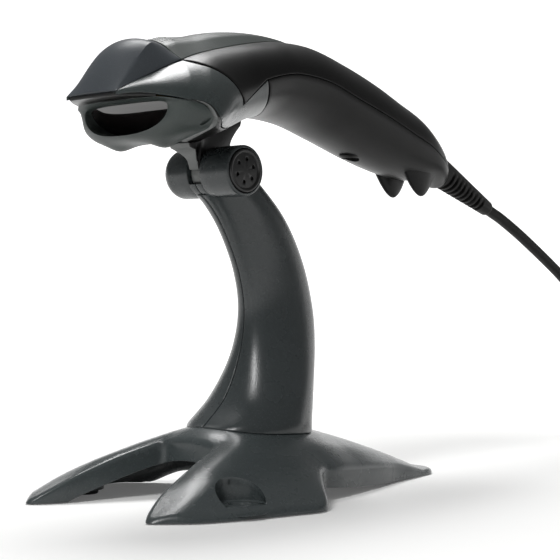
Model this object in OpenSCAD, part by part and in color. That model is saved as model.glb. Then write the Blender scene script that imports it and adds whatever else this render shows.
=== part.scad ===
// Handheld barcode scanner docked on its presentation stand.
// +Z is up, the nose looks along -Y, the cable leaves along +Y. Millimetres.

/* [Stand] */
// Height of the tilt hinge above the table
hinge_height = 119.5; // [112:0.5:130]
// How far the hinge sits in front of the middle of the neck's foot
hinge_lead = 18; // [14:0.5:22]
// Height of the domed base at its middle
dome_height = 28; // [25:0.5:31]
// Wall of the base shell
base_wall = 2.6; // [2:0.1:3.5]
// Depth of the skirt along the gaps between the legs
skirt_depth = 8; // [5:0.5:10]
// Wall of the two neck shells
neck_wall = 2.4; // [1.6:0.1:3]
// Thickness of the steel ballast plate
ballast_t = 4; // [3:0.5:6]
// Thickness of the rubber feet
foot_t = 1.6; // [1.2:0.1:2.2]
// Radius of the counter screw pocket in each front leg
pocket_r = 8.5; // [7:0.1:9.5]
// Radius of the counter screw holes
counter_hole_r = 2.2; // [1.5:0.1:3]

/* [Hinge] */
// Radius of the hinge barrel
barrel_r = 9.3; // [9:0.1:10.8]
// Half length of the hinge barrel
barrel_half = 18; // [16:0.5:22]
// Radius of the hinge screw's shank
pin_r = 2.5; // [1.8:0.1:3]
// Thickness of the cradle's tongue in the barrel's slot
tongue_t = 5.2; // [4:0.1:7]
// Thickness of each friction washer
washer_t = 0.6; // [0.4:0.1:1.2]
// Radius of the end cap in the barrel's face
cap_r = 8; // [6.5:0.1:8.4]

/* [Scanner] */
// Wall of the scanner's shells
shell_wall = 2; // [1.4:0.1:2.6]
// Wall of the cradle's saddle
saddle_wall = 2.4; // [1.6:0.1:3]
// Joint line between neighbouring shells
seam_gap = 0.4; // [0.3:0.05:0.6]
// Room between the scanner and its cradle
dock_gap = 0.45; // [0.3:0.05:0.8]
// Thickness of the window
window_t = 1.5; // [1:0.1:2]
// Radius of the trigger's pivot pin
pivot_r = 1; // [0.8:0.05:1.2]
// Radius of the case screw's shank
case_screw_r = 1.3; // [1:0.1:1.6]
// Thickness of the circuit boards
board_t = 1.6; // [1:0.1:2]

/* [Cord] */
// Diameter of the cord
cord_d = 4.8; // [4:0.1:5]
// Radius of the coil at the middle of its turns
coil_mid_r = 28.2; // [26:0.1:30]
// Distance from turn to turn and from layer to layer
coil_pitch = 5.4; // [5.4:0.1:6]
// Turns in each of the two layers
layer_turns = 3.5; // [2.5:1:3.5]

/* [Hidden] */

slate = [0.27, 0.30, 0.31];
dark_slate = [0.20, 0.23, 0.23];
ink = [0.10, 0.10, 0.10];
steel = [0.70, 0.71, 0.72];
brass = [0.72, 0.58, 0.30];
board_green = [0.10, 0.32, 0.20];

// Reference heights at which the lofts below are drawn
drawn_height = 119.5;
drawn_lead = 18;
// The neck's foot, and the hinge axis, in the part's frame
neck_y = -18.5;
hinge = [0, neck_y - hinge_lead, hinge_height];

// Curves and walls
function mix(a, b, t) = a * (1 - t) + b * t;
function sign_power(v, e) = sign(v) * pow(abs(v), e);
// Interval of a table, sorted by its first column, that holds the value v
function interval(rows, v, i = 0) = i >= len(rows) - 2 || v < rows[i + 1][0] ? i : interval(rows, v, i + 1);
// Smooth row of a table at the value v of its first column
function smooth_row(rows, v) =
  let (i = interval(rows, v), a = rows[i], b = rows[i + 1], h = b[0] - a[0], f = (v - a[0]) / h)
  let (before = rows[max(i - 1, 0)], after = rows[min(i + 2, len(rows) - 1)])
  let (slope_a = (b - before) / (b[0] - before[0]), slope_b = (after - a) / (after[0] - a[0]))
  a * (1 + 2 * f) * pow(1 - f, 2) + slope_a * h * f * pow(1 - f, 2)
  + b * f * f * (3 - 2 * f) + slope_b * h * f * f * (f - 1);
// Straight row of a table at the value v of its first column
function straight_row(rows, v) =
  let (i = interval(rows, v), a = rows[i], b = rows[i + 1])
  mix(a, b, (v - a[0]) / (b[0] - a[0]));
// Values from a to b in n steps
function steps(a, b, n) = [for (i = [0:n]) a + (b - a) * i / n];
// Net of points pushed along its normals by t
function pushed(net, t, loop = false) =
  let (rows = len(net), cols = len(net[0]))
  [for (i = [0:rows - 1]) [for (j = [0:cols - 1])
    let (along = net[min(i + 1, rows - 1)][j] - net[max(i - 1, 0)][j])
    let (j_after = loop ? (j + 1) % cols : min(j + 1, cols - 1))
    let (j_before = loop ? (j + cols - 1) % cols : max(j - 1, 0))
    let (normal = cross(along, net[i][j_after] - net[i][j_before]))
    net[i][j] + t * normal / max(norm(normal), 1e-9)]];

// Closed wall between an outer and an inner net with the same rows and columns
module wall(outer, inner, loop = false) {
  rows = len(outer);
  cols = len(outer[0]);
  last = loop ? cols - 1 : cols - 2;
  size = rows * cols;
  function quad(a, b, c, d) = [[a, b, c], [a, c, d]];
  faces = [
    for (i = [0:rows - 2]) for (j = [0:last])
      let (k = (j + 1) % cols, a = i * cols + j, b = (i + 1) * cols + j, c = (i + 1) * cols + k,
          d = i * cols + k)
      each concat(quad(a, b, c, d), quad(size + d, size + c, size + b, size + a)),
    for (j = [0:last])
      let (k = (j + 1) % cols, low = (rows - 1) * cols)
      each concat(quad(j, k, size + k, size + j), quad(low + k, low + j, size + low + j, size + low + k)),
    if (!loop) for (i = [0:rows - 2])
      let (a = i * cols, b = (i + 1) * cols, e = cols - 1)
      each concat(quad(b, a, size + a, size + b), quad(a + e, b + e, size + b + e, size + a + e))
  ];
  points = concat([for (row = outer) each row], [for (row = inner) each row]);
  swept = [for (f = faces) points[f[0]] * cross(points[f[1]], points[f[2]])] * [for (f = faces) 1];
  polyhedron(points, swept > 0 ? [for (f = faces) [f[2], f[1], f[0]]] : faces);
}

// Cylinder along X from x0 to x1 on the axis at [y, z]
module rod(x0, x1, r, at = [0, 0]) {
  translate([x0, at[0], at[1]]) rotate([0, 90, 0]) cylinder(r = r, h = x1 - x0, $fn = 48);
}
// Upright cylinder from z0 to z1
module post(at, z0, z1, r) {
  translate([at[0], at[1], z0]) cylinder(r = r, h = z1 - z0, $fn = 48);
}
// Block between two corners
module block(low, high) {
  translate(low) cube(high - low);
}

// Base: plan of one half from the front gap to the back leg, from the neck's foot
base_plan = [
  [0, -29.5], [7, -29.5], [13.5, -29.5], [15.5, -34], [21.5, -53], [27, -70], [32.4, -77.5], [39, -72],
  [44.8, -65.5], [48.5, -57], [51, -48.2], [54.3, -33], [56.4, -16.6], [47, -7], [41, -1.5], [38.5, 3],
  [38, 8], [37, 14], [33, 29], [28, 47], [23.4, 62], [20, 78], [16, 92], [9, 97], [0, 98]
];
// Plan points run round the whole base, seen from a middle behind the neck's foot
base_middle = [0, 15];
base_loop = concat(base_plan, [for (i = [len(base_plan) - 2:-1:1]) [-base_plan[i][0], base_plan[i][1]]]);
// Rings of the base from its middle hole to its edge
base_rings = [0.14, 0.35, 0.55, 0.75, 0.89, 0.93, 1];
skirt_ring = 5;
// The base's edge clears the table by this much
edge_lift = 0.4;
edge_t = 1;
// Half axes of the dome to the side, front and back, how the side narrows backwards, and its fullness
dome_side = 58;
dome_front = 99;
dome_back = 92;
dome_narrowing = 0.13;
dome_power = 1.7;
function dome(x, y) =
  let (side = dome_side - dome_narrowing * max(y, 0), ahead = y < 0 ? dome_front : dome_back)
  let (reach = norm([x / side, y / ahead]))
  max(dome_height * (1 - pow(min(reach, 1), dome_power)), edge_lift + edge_t);
function base_point(ring, k) = mix(base_middle, base_loop[k], base_rings[ring]);
function base_net(drop) =
  [for (ring = [0:len(base_rings) - 1]) [for (k = [0:len(base_loop) - 1])
    let (at = base_point(ring, k)) [at[0], neck_y + at[1], dome(at[0], at[1]) - drop]]];
function skirt_foot(k) =
  let (at = base_loop[k]) max(edge_lift, dome(at[0], at[1]) - skirt_depth);
function base_under() =
  [for (ring = [0:len(base_rings) - 1]) [for (k = [0:len(base_loop) - 1])
    let (at = base_point(ring, k))
    [at[0], neck_y + at[1],
      ring >= skirt_ring ? skirt_foot(k) : max(dome(at[0], at[1]) - base_wall, edge_lift)]]];

// Feet: the two counter screw pockets, and the back foot
pocket_at = [41.8, -44];
back_foot_at = [0, 78];
foot_r = 5.4;
foot_room = 0.2;
boss_wall = 1.8;
pocket_floor = 1.8;
// Screws that hold the neck's two shells on the base, one to each shell
neck_screw_at = [8, 6];
neck_screw_r = 1.5;
neck_screw_head_r = 3;
neck_screw_head_t = 2;
neck_screw_reach = 12;
post_r = 4;
post_drop = 8;
ballast_top = dome_height - base_wall - post_drop;

module each_foot() {
  for (side = [-1, 1]) translate([side * pocket_at[0], neck_y + pocket_at[1], 0]) children();
  translate([back_foot_at[0], neck_y + back_foot_at[1], 0]) children();
}
module each_pocket() {
  for (side = [-1, 1]) translate([side * pocket_at[0], neck_y + pocket_at[1], 0]) children();
}
module each_neck_screw() {
  for (side = [-1, 1]) translate([side * neck_screw_at[0], neck_y + neck_screw_at[1], 0]) children();
}

module base_shell() color(slate) difference() {
  union() {
    wall(base_net(0), base_under(), true);
    intersection() {
      each_foot() post([0, 0], foot_t, dome_height, pocket_r + boss_wall);
      wall(base_net(0.7), [for (row = base_net(0)) [for (p = row) [p[0], p[1], 0]]], true);
    }
    each_neck_screw() post([0, 0], ballast_top, dome_height - base_wall - 1, post_r);
  }
  each_pocket() post([0, 0], foot_t + pocket_floor, dome_height, pocket_r);
  each_pocket() post([0, 0], 0, dome_height, counter_hole_r);
  each_foot() post([0, 0], -1, foot_t, foot_r + foot_room);
  each_neck_screw() post([0, 0], 0, dome_height + 1, neck_screw_r + 0.2);
}

module ballast_plate() color(steel) difference() {
  translate([0, neck_y + neck_screw_at[1], ballast_top - ballast_t])
      cylinder(r = 17, h = ballast_t, $fn = 64);
  each_neck_screw() post([0, 0], 0, dome_height, neck_screw_r + 0.2);
}

module ballast_screws() color(steel) each_neck_screw() {
  post([0, 0], ballast_top - ballast_t - neck_screw_head_t, ballast_top - ballast_t, neck_screw_head_r);
  post([0, 0], ballast_top - ballast_t - 0.01, dome_height + neck_screw_reach - 2, neck_screw_r);
}

module rubber_feet() color(ink) {
  each_pocket() difference() {
    post([0, 0], 0, foot_t, foot_r);
    post([0, 0], -1, foot_t + 1, counter_hole_r + 1);
  }
  translate([back_foot_at[0], neck_y + back_foot_at[1], 0]) post([0, 0], 0, foot_t, foot_r);
}

// Neck: front and back of each rib and its half width, from the neck's foot
// Columns: place along the neck, front y, front z, back y, back z, half width
neck_ribs = [
  [0, -22.6, 25.7, 26.3, 25.7, 22.1], [1, -11, 36.5, 28.5, 38, 18.8], [2, -3.5, 52, 32.8, 54, 13.6],
  [3, -1.1, 68, 33.4, 69, 10.4], [4, -4, 83, 28.4, 87, 9.2], [5, -11, 97.5, 18.6, 103.2, 9],
  [6, -18.5, 107.3, 4.5, 116.4, 9], [7, -26, 113, -10, 127, 8.6]
];
neck_top = 6.6;
neck_rise = hinge_height / drawn_height;
// Lean of the neck where the hinge is drawn nearer or further
function neck_lean(z) = (drawn_lead - hinge_lead) * pow(z / drawn_height, 2);
function neck_place(y, z) = [neck_y + y + neck_lean(z), z * neck_rise];
function neck_point(t, a, side, inset) =
  let (rib = smooth_row(neck_ribs, t), front = neck_place(rib[1], rib[2]),
      back = neck_place(rib[3], rib[4]))
  let (middle = (front + back) / 2, half = (front - back) / 2, deep = half * (1 - inset / norm(half)))
  let (x = max((rib[5] - inset) * sign_power(sin(a), 0.9), seam_gap / 2), at = middle + deep * cos(a))
  let (foot = dome(x, at[0] - neck_y) + 0.3)
  [side * x, at[0], t == 0 ? foot : max(at[1], foot + t)];
neck_rows = 14;
neck_cols = 12;
function neck_net(side, inset) =
  [for (t = steps(0, neck_top, neck_rows)) [for (a = steps(0, 180, neck_cols))
      neck_point(t, a, side, inset)]];

// Hinge: slot for the cradle's tongue and its washers
run_gap = 0.05;
slot_half = tongue_t / 2 + washer_t + 2 * run_gap;
hub_r = barrel_r - 1.5;
slot_r = hub_r + 0.4;
// The slot is open from behind the top round to the front, in degrees from +Y
slot_from = 20;
slot_to = 209;
cap_t = 2.6;
cap_ring = 0.5;
screw_head_r = 4.6;
screw_head_t = 3;
screw_head_x = barrel_half - cap_t - screw_head_t - 2;
insert_r = 4.2;
insert_from = -13;
insert_to = -slot_half - 2;
// Rounding of the barrel's far and near end
dome_end = 5;
near_end = 0.9;

// Sector of a disc across the X axis
module sector(half, r, from, to) {
  rotate([90, 0, 90]) translate([0, 0, -half]) linear_extrude(2 * half)
    polygon(concat([[0, 0]], [for (a = steps(from, to, 24)) r * [cos(a), sin(a)]]));
}

module neck_half(side) {
  outer = neck_net(side, 0);
  inner = neck_net(side, neck_wall);
  difference() {
    union() {
      wall(outer, inner);
      translate(hinge) rotate([0, side * 90, 0]) rotate_extrude($fn = 64)
          polygon(let (round = side > 0 ? near_end : dome_end) concat(
        [[0, seam_gap / 2], [barrel_r, seam_gap / 2]],
        [for (a = steps(0, 90, 8))
          [barrel_r - round + round * cos(a), barrel_half - round + round * sin(a)]],
        [[0, barrel_half]]));
      intersection() {
        translate([side * neck_screw_at[0], neck_y + neck_screw_at[1], 0]) {
          post([0, 0], dome_height - 1, dome_height + neck_screw_reach, neck_screw_r + 2);
          block([-1, 0, dome_height], [1, 30, dome_height + neck_screw_reach]);
        }
        wall_core(side);
      }
    }
    translate(hinge) {
      rod(-slot_half, slot_half, slot_r);
      sector(slot_half, barrel_r + 4, slot_from, slot_to);
      rod(-barrel_half + 4, barrel_half + 1, pin_r + run_gap);
      if (side > 0) {
        rod(barrel_half - cap_t, barrel_half + 1, cap_r + 0.2);
        rod(screw_head_x, barrel_half + 1, screw_head_r + 0.3);
      } else rod(insert_from, insert_to, insert_r);
    }
    translate([side * neck_screw_at[0], neck_y + neck_screw_at[1], 0])
      post([0, 0], 0, dome_height + neck_screw_reach, neck_screw_r + run_gap);
  }
}
// Solid between the seam and the middle of a neck shell's wall
module wall_core(side) {
  outer = neck_net(side, neck_wall / 2);
  inner = [for (row = outer) [for (p = row) [side * seam_gap / 2 + side * 0.02 * abs(p[0]), p[1], p[2]]]];
  wall(outer, inner);
}
module neck_left_shell() color(slate) neck_half(1);
module neck_right_shell() color(slate) neck_half(-1);

module hinge_screw() color(steel) translate(hinge) difference() {
  union() {
    rod(screw_head_x, screw_head_x + screw_head_t, screw_head_r);
    rod(insert_from + 1, screw_head_x + 0.01, pin_r);
  }
  rotate([0, 90, 0]) translate([0, 0, screw_head_x + 1]) cylinder(r = 2.2, h = screw_head_t, $fn = 6);
}
module hinge_insert() color(brass) translate(hinge) difference() {
  rod(insert_from + run_gap, insert_to - run_gap, insert_r - run_gap);
  rod(insert_from - 1, insert_to + 1, pin_r + run_gap);
}
module friction_washers() color(steel) translate(hinge) for (side = [-1, 1]) difference() {
  rod(side * (tongue_t / 2 + run_gap + washer_t / 2) - washer_t / 2,
    side * (tongue_t / 2 + run_gap + washer_t / 2) + washer_t / 2, hub_r - 1);
  rod(-barrel_half, barrel_half, pin_r + run_gap);
}
// End cap: a raised face inside a rim, with six small holes
cap_face_r = cap_r - 1.3;
cap_hole_r = 0.7;
cap_hole_circle = 4.2;
module hinge_cap() color(ink) translate(hinge) difference() {
  union() {
    rod(barrel_half - cap_t + 0.01, barrel_half - 0.8, cap_r);
    rod(barrel_half - cap_t + 0.01, barrel_half + cap_ring, cap_face_r);
  }
  for (k = [0:5]) rod(barrel_half - 1, barrel_half + 2, cap_hole_r,
    cap_hole_circle * [cos(60 * k + 20), sin(60 * k + 20)]);
}

// Scanner body: ribs of its skin, from the hinge
// Columns: place along Y, half width, height of the widest line, top, bottom
ribs = [
  [-58, 12.6, 24.2, 24.9, 9], [-50, 18.8, 24.3, 29.8, 9], [-42.5, 24.8, 22.9, 33.2, 9],
      [-35, 29.3, 20.6, 37, 9.3],
  [-28, 32, 16.2, 40.4, 9.6], [-20, 30.6, 19.5, 43, 9.8], [-12, 27.4, 24.6, 45, 10.6],
      [-4, 25.3, 28.6, 46.7, 13.2],
  [5, 24, 32.4, 48.3, 17.2], [15, 23, 35.2, 49.8, 20.8], [25, 22.2, 36.7, 51, 21.8],
      [43, 21, 35.4, 51.3, 19.9],
  [62, 20, 30.2, 47.2, 14.6], [80, 19, 25.2, 41.7, 8.9], [95, 18, 20.4, 35.9, 5],
      [110, 16.8, 15.5, 29.9, 2.5],
  [120, 14.8, 10.8, 23.2, 2.4], [127, 11.5, 7.8, 17.6, 1.2], [132.5, 7.2, 6.2, 12.7, -0.2]
];
tail_p = 132.5;
// Point of the skin at p, a degrees round from the top, 90 at the widest line and 180 below
function skin(p, a, inset = 0) =
  let (r = smooth_row(ribs, p), up = r[3] - r[2] - inset, down = r[2] - r[4] - inset)
  hinge + [(r[1] - inset) * sin(a), p, r[2] + (cos(a) > 0 ? up : down) * cos(a)];
// Angle of the skin at p where it is x wide
function skin_angle(p, x) = asin(min(x / smooth_row(ribs, p)[1], 1));
function skin_net(rows, cols, inset = 0) =
  [for (row = rows) [for (c = steps(0, 1, cols))
    let (bow = len(row) > 2 ? row[2] * 4 * c * (1 - c) : [0, 0], at = mix(row[0], row[1], c) + bow)
    skin(at[0], at[1], inset)]];
function mirrored_rows(rows) =
  concat(rows, [for (i = [len(rows) - 2:-1:0]) [for (at = rows[i]) [at[0], -at[1]]]]);
// Rows between the rows of a table, each a pair of [p, a] ends
function finer(rows, n) =
  concat([for (i = [0:len(rows) - 2]) for (k = [0:n - 1])
    [for (e = [0:len(rows[i]) - 1]) mix(rows[i][e], rows[i + 1][e], k / n)]], [rows[len(rows) - 1]]);

// Crest between the hood and the cheeks: half width at the nose and at the hood's back corner
crest_front = [13.4, -57, 24.2];
crest_back = [15.2, -28.8, 37.6];
function crest_x(p) = mix(crest_front[0], crest_back[0],
    (p - crest_front[1]) / (crest_back[1] - crest_front[1]));
function crest_angle(p) = skin_angle(p, crest_x(p) + seam_gap);

// Rows of the head from the lip to the throat: front end, end of the saddle's recess, back end, recess share, bow
// The first rows run along the crest
crest_rows = [for (k = steps(0, 1, 7))
  let (p = mix(-56.5, crest_back[1] + 0.3, k), front = mix(-56.4, -38, k))
  [[front, 90], [front, 88.2], [p, crest_angle(p)], [0, 0], [0, 0]]];
throat_rows = finer([
  [[-36.6, 92], [-35.8, 89.4], [-22.8, 46], [0, 0], [0, 0]],
  [[-30.1, 96], [-29.2, 90.6], [-17.1, 64], [0.4, 0], [0, 0]],
  [[-27.8, 104], [-25.4, 92.4], [-11.1, 88], [0.8, 0], [0, 0]],
  [[-27.2, 114], [-23, 101], [-7.9, 107.8], [1, 0], [0, 0]],
  [[-26.8, 128], [-18.5, 114], [5.6, 90.8], [1, 0], [0, 12]],
  [[-26.2, 145], [-11, 127], [8, 112], [1, 0], [0, 6]],
  [[-22.9, 161], [0, 143], [12.4, 138], [1, 0], [0, 2]],
  [[-19.6, 171], [10.5, 161], [16.8, 160], [1, 0], [0, 0]],
  [[-17.4, 180], [15.4, 180], [18.4, 180], [1, 0], [0, 0]]
], 2);
// Net of the housing: the recess floor, then the skin behind it
function housing_net(rows, inset) =
  [for (row = rows) let (depth = row[3][0] > 0 ? dock_gap + saddle_wall * row[3][0] : 0) concat(
    [for (c = [0, 0.32, 0.64, 0.98]) let (at = mix(row[0], row[1], c)) skin(at[0], at[1], inset + depth)],
    [for (c = steps(0, 1, 7)) let (at = mix(row[1], row[2], c) + row[4] * 4 * c * (1 - c))
        skin(at[0], at[1], inset)])];
module head_housing() color(slate) {
  rows = mirrored_rows(concat(crest_rows, throat_rows));
  wall(housing_net(rows, 0), housing_net(rows, shell_wall));
}

// Trigger leaf: half width of its opening along the scanner
seam_plan = [[-28.8, 15.2], [-14, 13], [0, 11], [14, 8.6], [28, 5.2], [38, 2.2], [43, 0.5]];
leaf_front = -27.9;
leaf_back = 42.6;
// Crown of the trigger leaf
leaf_crown = [[-30, 46.6], [-16, 48.3], [-9, 50], [-2, 51.4], [6, 52.5], [14, 53.2], [24, 53.4],
    [34, 52.8], [43, 51.6]];
function seam_x(p) = smooth_row(seam_plan, p)[1];
function seam_angle(p, inset = 0) = asin(min(seam_x(p) / (smooth_row(ribs, p)[1] - inset), 1));
// Upper grip shell: pairs of inner ends on the leaf's opening and outer ends on the parting line
parting = 89.6;
parting_gap = 1.3;
tooth = [[-7.2, 106], [5.2, 89.2]];
function upper_rows(inset) = finer([
  [[-28.2, seam_angle(-28.2, inset)], tooth[0], [2.2, 0]],
  [[-18, seam_angle(-18, inset)], tooth[1], [0, 0]],
  [[-5, seam_angle(-5, inset)], [32, parting], [0, 0]],
  [[12, seam_angle(12, inset)], [66, parting], [0, 0]],
  [[25, seam_angle(25, inset)], [96, parting], [0, 0]],
  [[34, seam_angle(34, inset)], [118, parting], [0, 0]],
  [[40, seam_angle(40, inset)], [tail_p, parting], [0, 0]],
  [[42, seam_angle(42, inset)], [tail_p, 50], [0, 0]],
  [[43.2, 0], [tail_p, 0], [0, 0]]
], 2);
// Pivot of the trigger leaf, from the hinge
pivot_at = [30, 45.5];
lug_half = 3.2;
ear_from = 5.2;
ear_to = 7.6;
// Case screw under the handle, and the boss that takes it
screw_p = 77.6;
recess_r = 3.6;
recess_top = 19;
boss_foot = 22;
module grip_upper() color(ink) difference() {
  union() {
    wall(skin_net(mirrored_rows(upper_rows(0)), 8),
        skin_net(mirrored_rows(upper_rows(shell_wall)), 8, shell_wall));
    translate(hinge) {
      for (side = [-1, 1]) translate([side * (ear_from + ear_to) / 2, pivot_at[0], 0])
        block([-(ear_to - ear_from) / 2, -3, pivot_at[1] - 2.6], [(ear_to - ear_from) / 2, 3, 49]);
      post([0, screw_p], boss_foot, 40.5, 3.4);
    }
  }
  translate(hinge) {
    rod(-ear_to - 1, ear_to + 1, pivot_r + run_gap, pivot_at);
    post([0, screw_p], boss_foot - 1, 36, case_screw_r + run_gap);
  }
  boot_room();
}

// Lower grip shell: where it starts behind the housing's fins, by the angle round the skin
lower_start = [[90, 6.2], [112, 8.6], [138, 12.6], [160, 17.1], [180, 18.6]];
function lower_p(a) = straight_row(lower_start, min(abs(a), 360 - abs(a)))[1];
board_post_p = [22, 56];
board_post_x = 9;
lower_rows = [for (a = steps(parting + parting_gap, 360 - parting - parting_gap, 20))
    [[lower_p(a), a], [tail_p, a]]];
lower_cols = 14;
module grip_lower() color(ink) difference() {
  union() {
    wall(skin_net(lower_rows, lower_cols), skin_net(lower_rows, lower_cols, shell_wall));
    translate(hinge) {
      post([0, screw_p], 11, recess_top + 1.6, recess_r + 1.6);
      for (p = board_post_p) for (side = [-1, 1]) translate([side * board_post_x, p, 0])
        post([0, 0], smooth_row(ribs, p)[4] + 3.2, board_low(p), 2.2);
      block([-5, 108, 3.6], [5, 120, socket_low]);
    }
  }
  translate(hinge) {
    post([0, screw_p], 0, recess_top, recess_r);
    post([0, screw_p], 0, recess_top + 3, case_screw_r + 0.3);
  }
  boot_room();
}
module case_screw() color(steel) translate(hinge) {
  post([0, screw_p], recess_top - 2, recess_top, recess_r - 0.9);
  post([0, screw_p], recess_top - 0.01, 34, case_screw_r);
}

// Two rounded feet under the tail
tail_foot_at = [7.6, 112];
tail_foot_tip = -4.6;
tail_foot_r = 3;
tail_foot_half = 10;
tail_foot_seat = 0.05;
module tail_feet() color(ink) difference() {
  translate(hinge) for (side = [-1, 1]) translate([side * tail_foot_at[0], tail_foot_at[1], 0]) hull() {
    translate([-1.2, 1.5, tail_foot_tip + tail_foot_r]) rotate([0, 90, 0])
        cylinder(r = tail_foot_r, h = 2.4, $fn = 32);
    block([-2.6, -tail_foot_half, 5], [2.6, tail_foot_half, 6]);
  }
  wall(skin_net(lower_rows, lower_cols, -tail_foot_seat), skin_net(lower_rows, lower_cols, 6));
}

// Hood: rows from the lip to its back edge. Columns: share, centre p, centre q, ridge x, ridge p, ridge q
hood_rows = [
  [0, -58.4, 24.3, 12.9, -57, 24.25], [0.2, -55.4, 31, 12.6, -52.6, 28.8],
      [0.42, -51, 37.8, 12.4, -48, 34.4],
  [0.62, -46.2, 42.2, 12, -43.4, 39.6], [0.8, -40.4, 44.9, 11, -38.8, 42.6], [1, -32.4, 45.3, 9.4, -31, 42]
];
hood_ridge_share = 0.72;
function hood_point(v, u) =
  let (r = smooth_row(hood_rows, v), s = min(abs(u) / hood_ridge_share, 1))
  let (crown = [sign(u) * s * r[3], mix(r[1], r[4], s * s), mix(r[2], r[5], s * s)])
  let (edge = mix(crest_front, crest_back, v),
      out = max(abs(u) - hood_ridge_share, 0) / (1 - hood_ridge_share))
  hinge + mix(crown, [sign(u) * edge[0], edge[1], edge[2]], out);
hood_across = concat(steps(-1, -hood_ridge_share, 2), [-0.48, -0.24, 0, 0.24, 0.48],
    steps(hood_ridge_share, 1, 2));
function hood_net() = [for (v = steps(0, 1, 12)) [for (u = hood_across) hood_point(v, u)]];
function level_lip(net, z) = [for (i = [0:len(net) - 1]) [for (p = net[i]) [p[0], p[1], max(p[2], z)]]];
module hood() color(slate) {
  outer = hood_net();
  wall(level_lip(pushed(outer, shell_wall), hinge[2] + crest_front[2] - 0.05), outer);
}

// Nose bezel: a bowl round the mouth. Columns: angle round the mouth, bulge x, p, q, rim x, p, q
bezel_rows = [
  [-90, 0, -41.8, 6.6, 0, -18.8, 10], [-72, 7, -41.4, 6.4, 7, -22, 9.9],
      [-54, 14, -41, 6.6, 14, -25.6, 9.9],
  [-36, 20.5, -40.4, 8, 22, -28.2, 10.2], [-18, 26, -40.6, 12, 28.6, -28.9, 11.6],
      [0, 27.6, -41, 17, 31, -29.4, 14.6],
  [18, 27.5, -42.2, 20.2, 30.2, -33, 18.6], [36, 25.6, -44, 21.8, 26.6, -40.2, 21.4],
      [54, 18.5, -46, 22.6, 20, -44.6, 22.4],
  [72, 9.5, -46.8, 22.9, 10, -46.2, 22.8], [90, 0, -47, 23, 0, -46.6, 22.9]
];
mouth_half = 22;
mouth_middle = [-43.8, 19.4];
mouth_up = 2.7;
mouth_down = 8.6;
mouth_bow = 2.4;
bump_at = [12.2, -33];
bump_depth = 2.2;
function bump(x, p) = bump_depth * exp(-(pow(abs(x) - bump_at[0], 2) + pow(p - bump_at[1], 2)) / 26);
function mouth_edge(a) =
  let (up = sin(a) > 0, x = mouth_half * sign_power(cos(a), up ? 0.5 : 0.85))
  [x, mouth_middle[0] + mouth_bow * pow(x / mouth_half, 2),
    mouth_middle[1] + (up ? mouth_up * pow(sin(a), 0.6) : -mouth_down * pow(-sin(a), 0.95))];
// The window's front, behind the mouth and leaning back at its foot
window_p = -38.6;
window_lean = 12;
function window_front(q) = window_p - (q - mouth_middle[1]) * tan(window_lean);
function tunnel_edge(a) = let (at = mouth_edge(a)) [at[0], window_front(at[2]), at[2]];
function bezel_point(turn, w) =
  let (folded = turn <= 90 ? turn : 180 - turn, side = turn <= 90 ? 1 : -1,
      r = smooth_row(bezel_rows, folded))
  let (start = mouth_edge(turn), bulge = [side * r[1], r[2], r[3]], rim = [side * r[4], r[5], r[6]])
  let (at = start * pow(1 - w, 2) + bulge * 2 * w * (1 - w) + rim * w * w)
  hinge + at - [0, 0, bump(at[0], at[1])];
function bezel_net() =
  concat([for (w = [0, 0.5]) [for (k = [0:47]) let (a = -90 + k * 7.5) hinge
      + mix(tunnel_edge(a), mouth_edge(a), w)]],
    [for (w = steps(0, 1, 7)) [for (k = [0:47]) bezel_point(-90 + k * 7.5, w)]]);
// Floor under the lip: its half width at the front, middle and back
floor_plan = [[0, -57], [11.6, -56.4], [17.6, -50.2], [20.4, -46.8], [18.6, -46.4], [9.6, -47.2],
    [0, -47.4]];
floor_q = [22, 23.6];
bezel_wall = 0.8 * shell_wall;
// The tunnel's end lies in the window's plane
function seated(net) =
  [for (i = [0:len(net) - 1]) i > 0 ? net[i] : [for (at = net[0])
      [at[0], hinge[1] + window_front(at[2] - hinge[2]), at[2]]]];
module nose_bezel() color(dark_slate) {
  outer = bezel_net();
  wall(seated(pushed(outer, -bezel_wall, true)), outer, true);
}
module nose_floor() color(dark_slate) translate(hinge + [0, 0, floor_q[0]])
    linear_extrude(floor_q[1] - floor_q[0])
  polygon(concat(floor_plan, [for (k = [len(floor_plan) - 2:-1:1]) [-floor_plan[k][0], floor_plan[k][1]]]));

// Window against the end of the mouth's tunnel
window_grow = 0.65;
module window() color([0.12, 0.10, 0.10])
  translate(hinge + [0, window_p + run_gap, mouth_middle[1]]) rotate([90 + window_lean, 0, 0])
    translate([0, 0, -window_t]) linear_extrude(window_t)
      polygon([for (a = steps(0, 360, 48)) if (a < 360)
          let (at = mouth_edge(a), q = (at[2] - mouth_middle[1]) / cos(window_lean))
        [at[0] * (1 + window_grow / mouth_half), q + window_grow * sin(a)]]);

// Scan engine on its chassis, from the hinge
chassis_floor = 18.2;
chassis_t = 1.6;
chassis_half = 11.6;
chassis_p = [-34, -9.6];
chassis_deck = 31;
deck_p = [-22, -4];
module engine_chassis() color(ink) translate(hinge) {
  block([-chassis_half, chassis_p[0], chassis_floor],
      [chassis_half, chassis_p[1], chassis_floor + chassis_t]);
  for (side = [-1, 1]) translate([side * (chassis_half - 1), 0, 0])
    block([-1, deck_p[0], chassis_floor], [1, chassis_p[1], chassis_deck]);
  block([-chassis_half, deck_p[0], chassis_deck - chassis_t], [chassis_half, chassis_p[1], chassis_deck]);
}
laser_at = [7.2, 23.6];
laser_r = 3.2;
module laser_module() color(brass) translate(hinge) {
  translate([laser_at[0], -31, laser_at[1]]) rotate([-90, 0, 0]) cylinder(r = laser_r, h = 9, $fn = 48);
  block([laser_at[0] - 3.6, -29, chassis_floor + chassis_t], [laser_at[0] + 3.6, -24, laser_at[1] - 2]);
}
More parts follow.
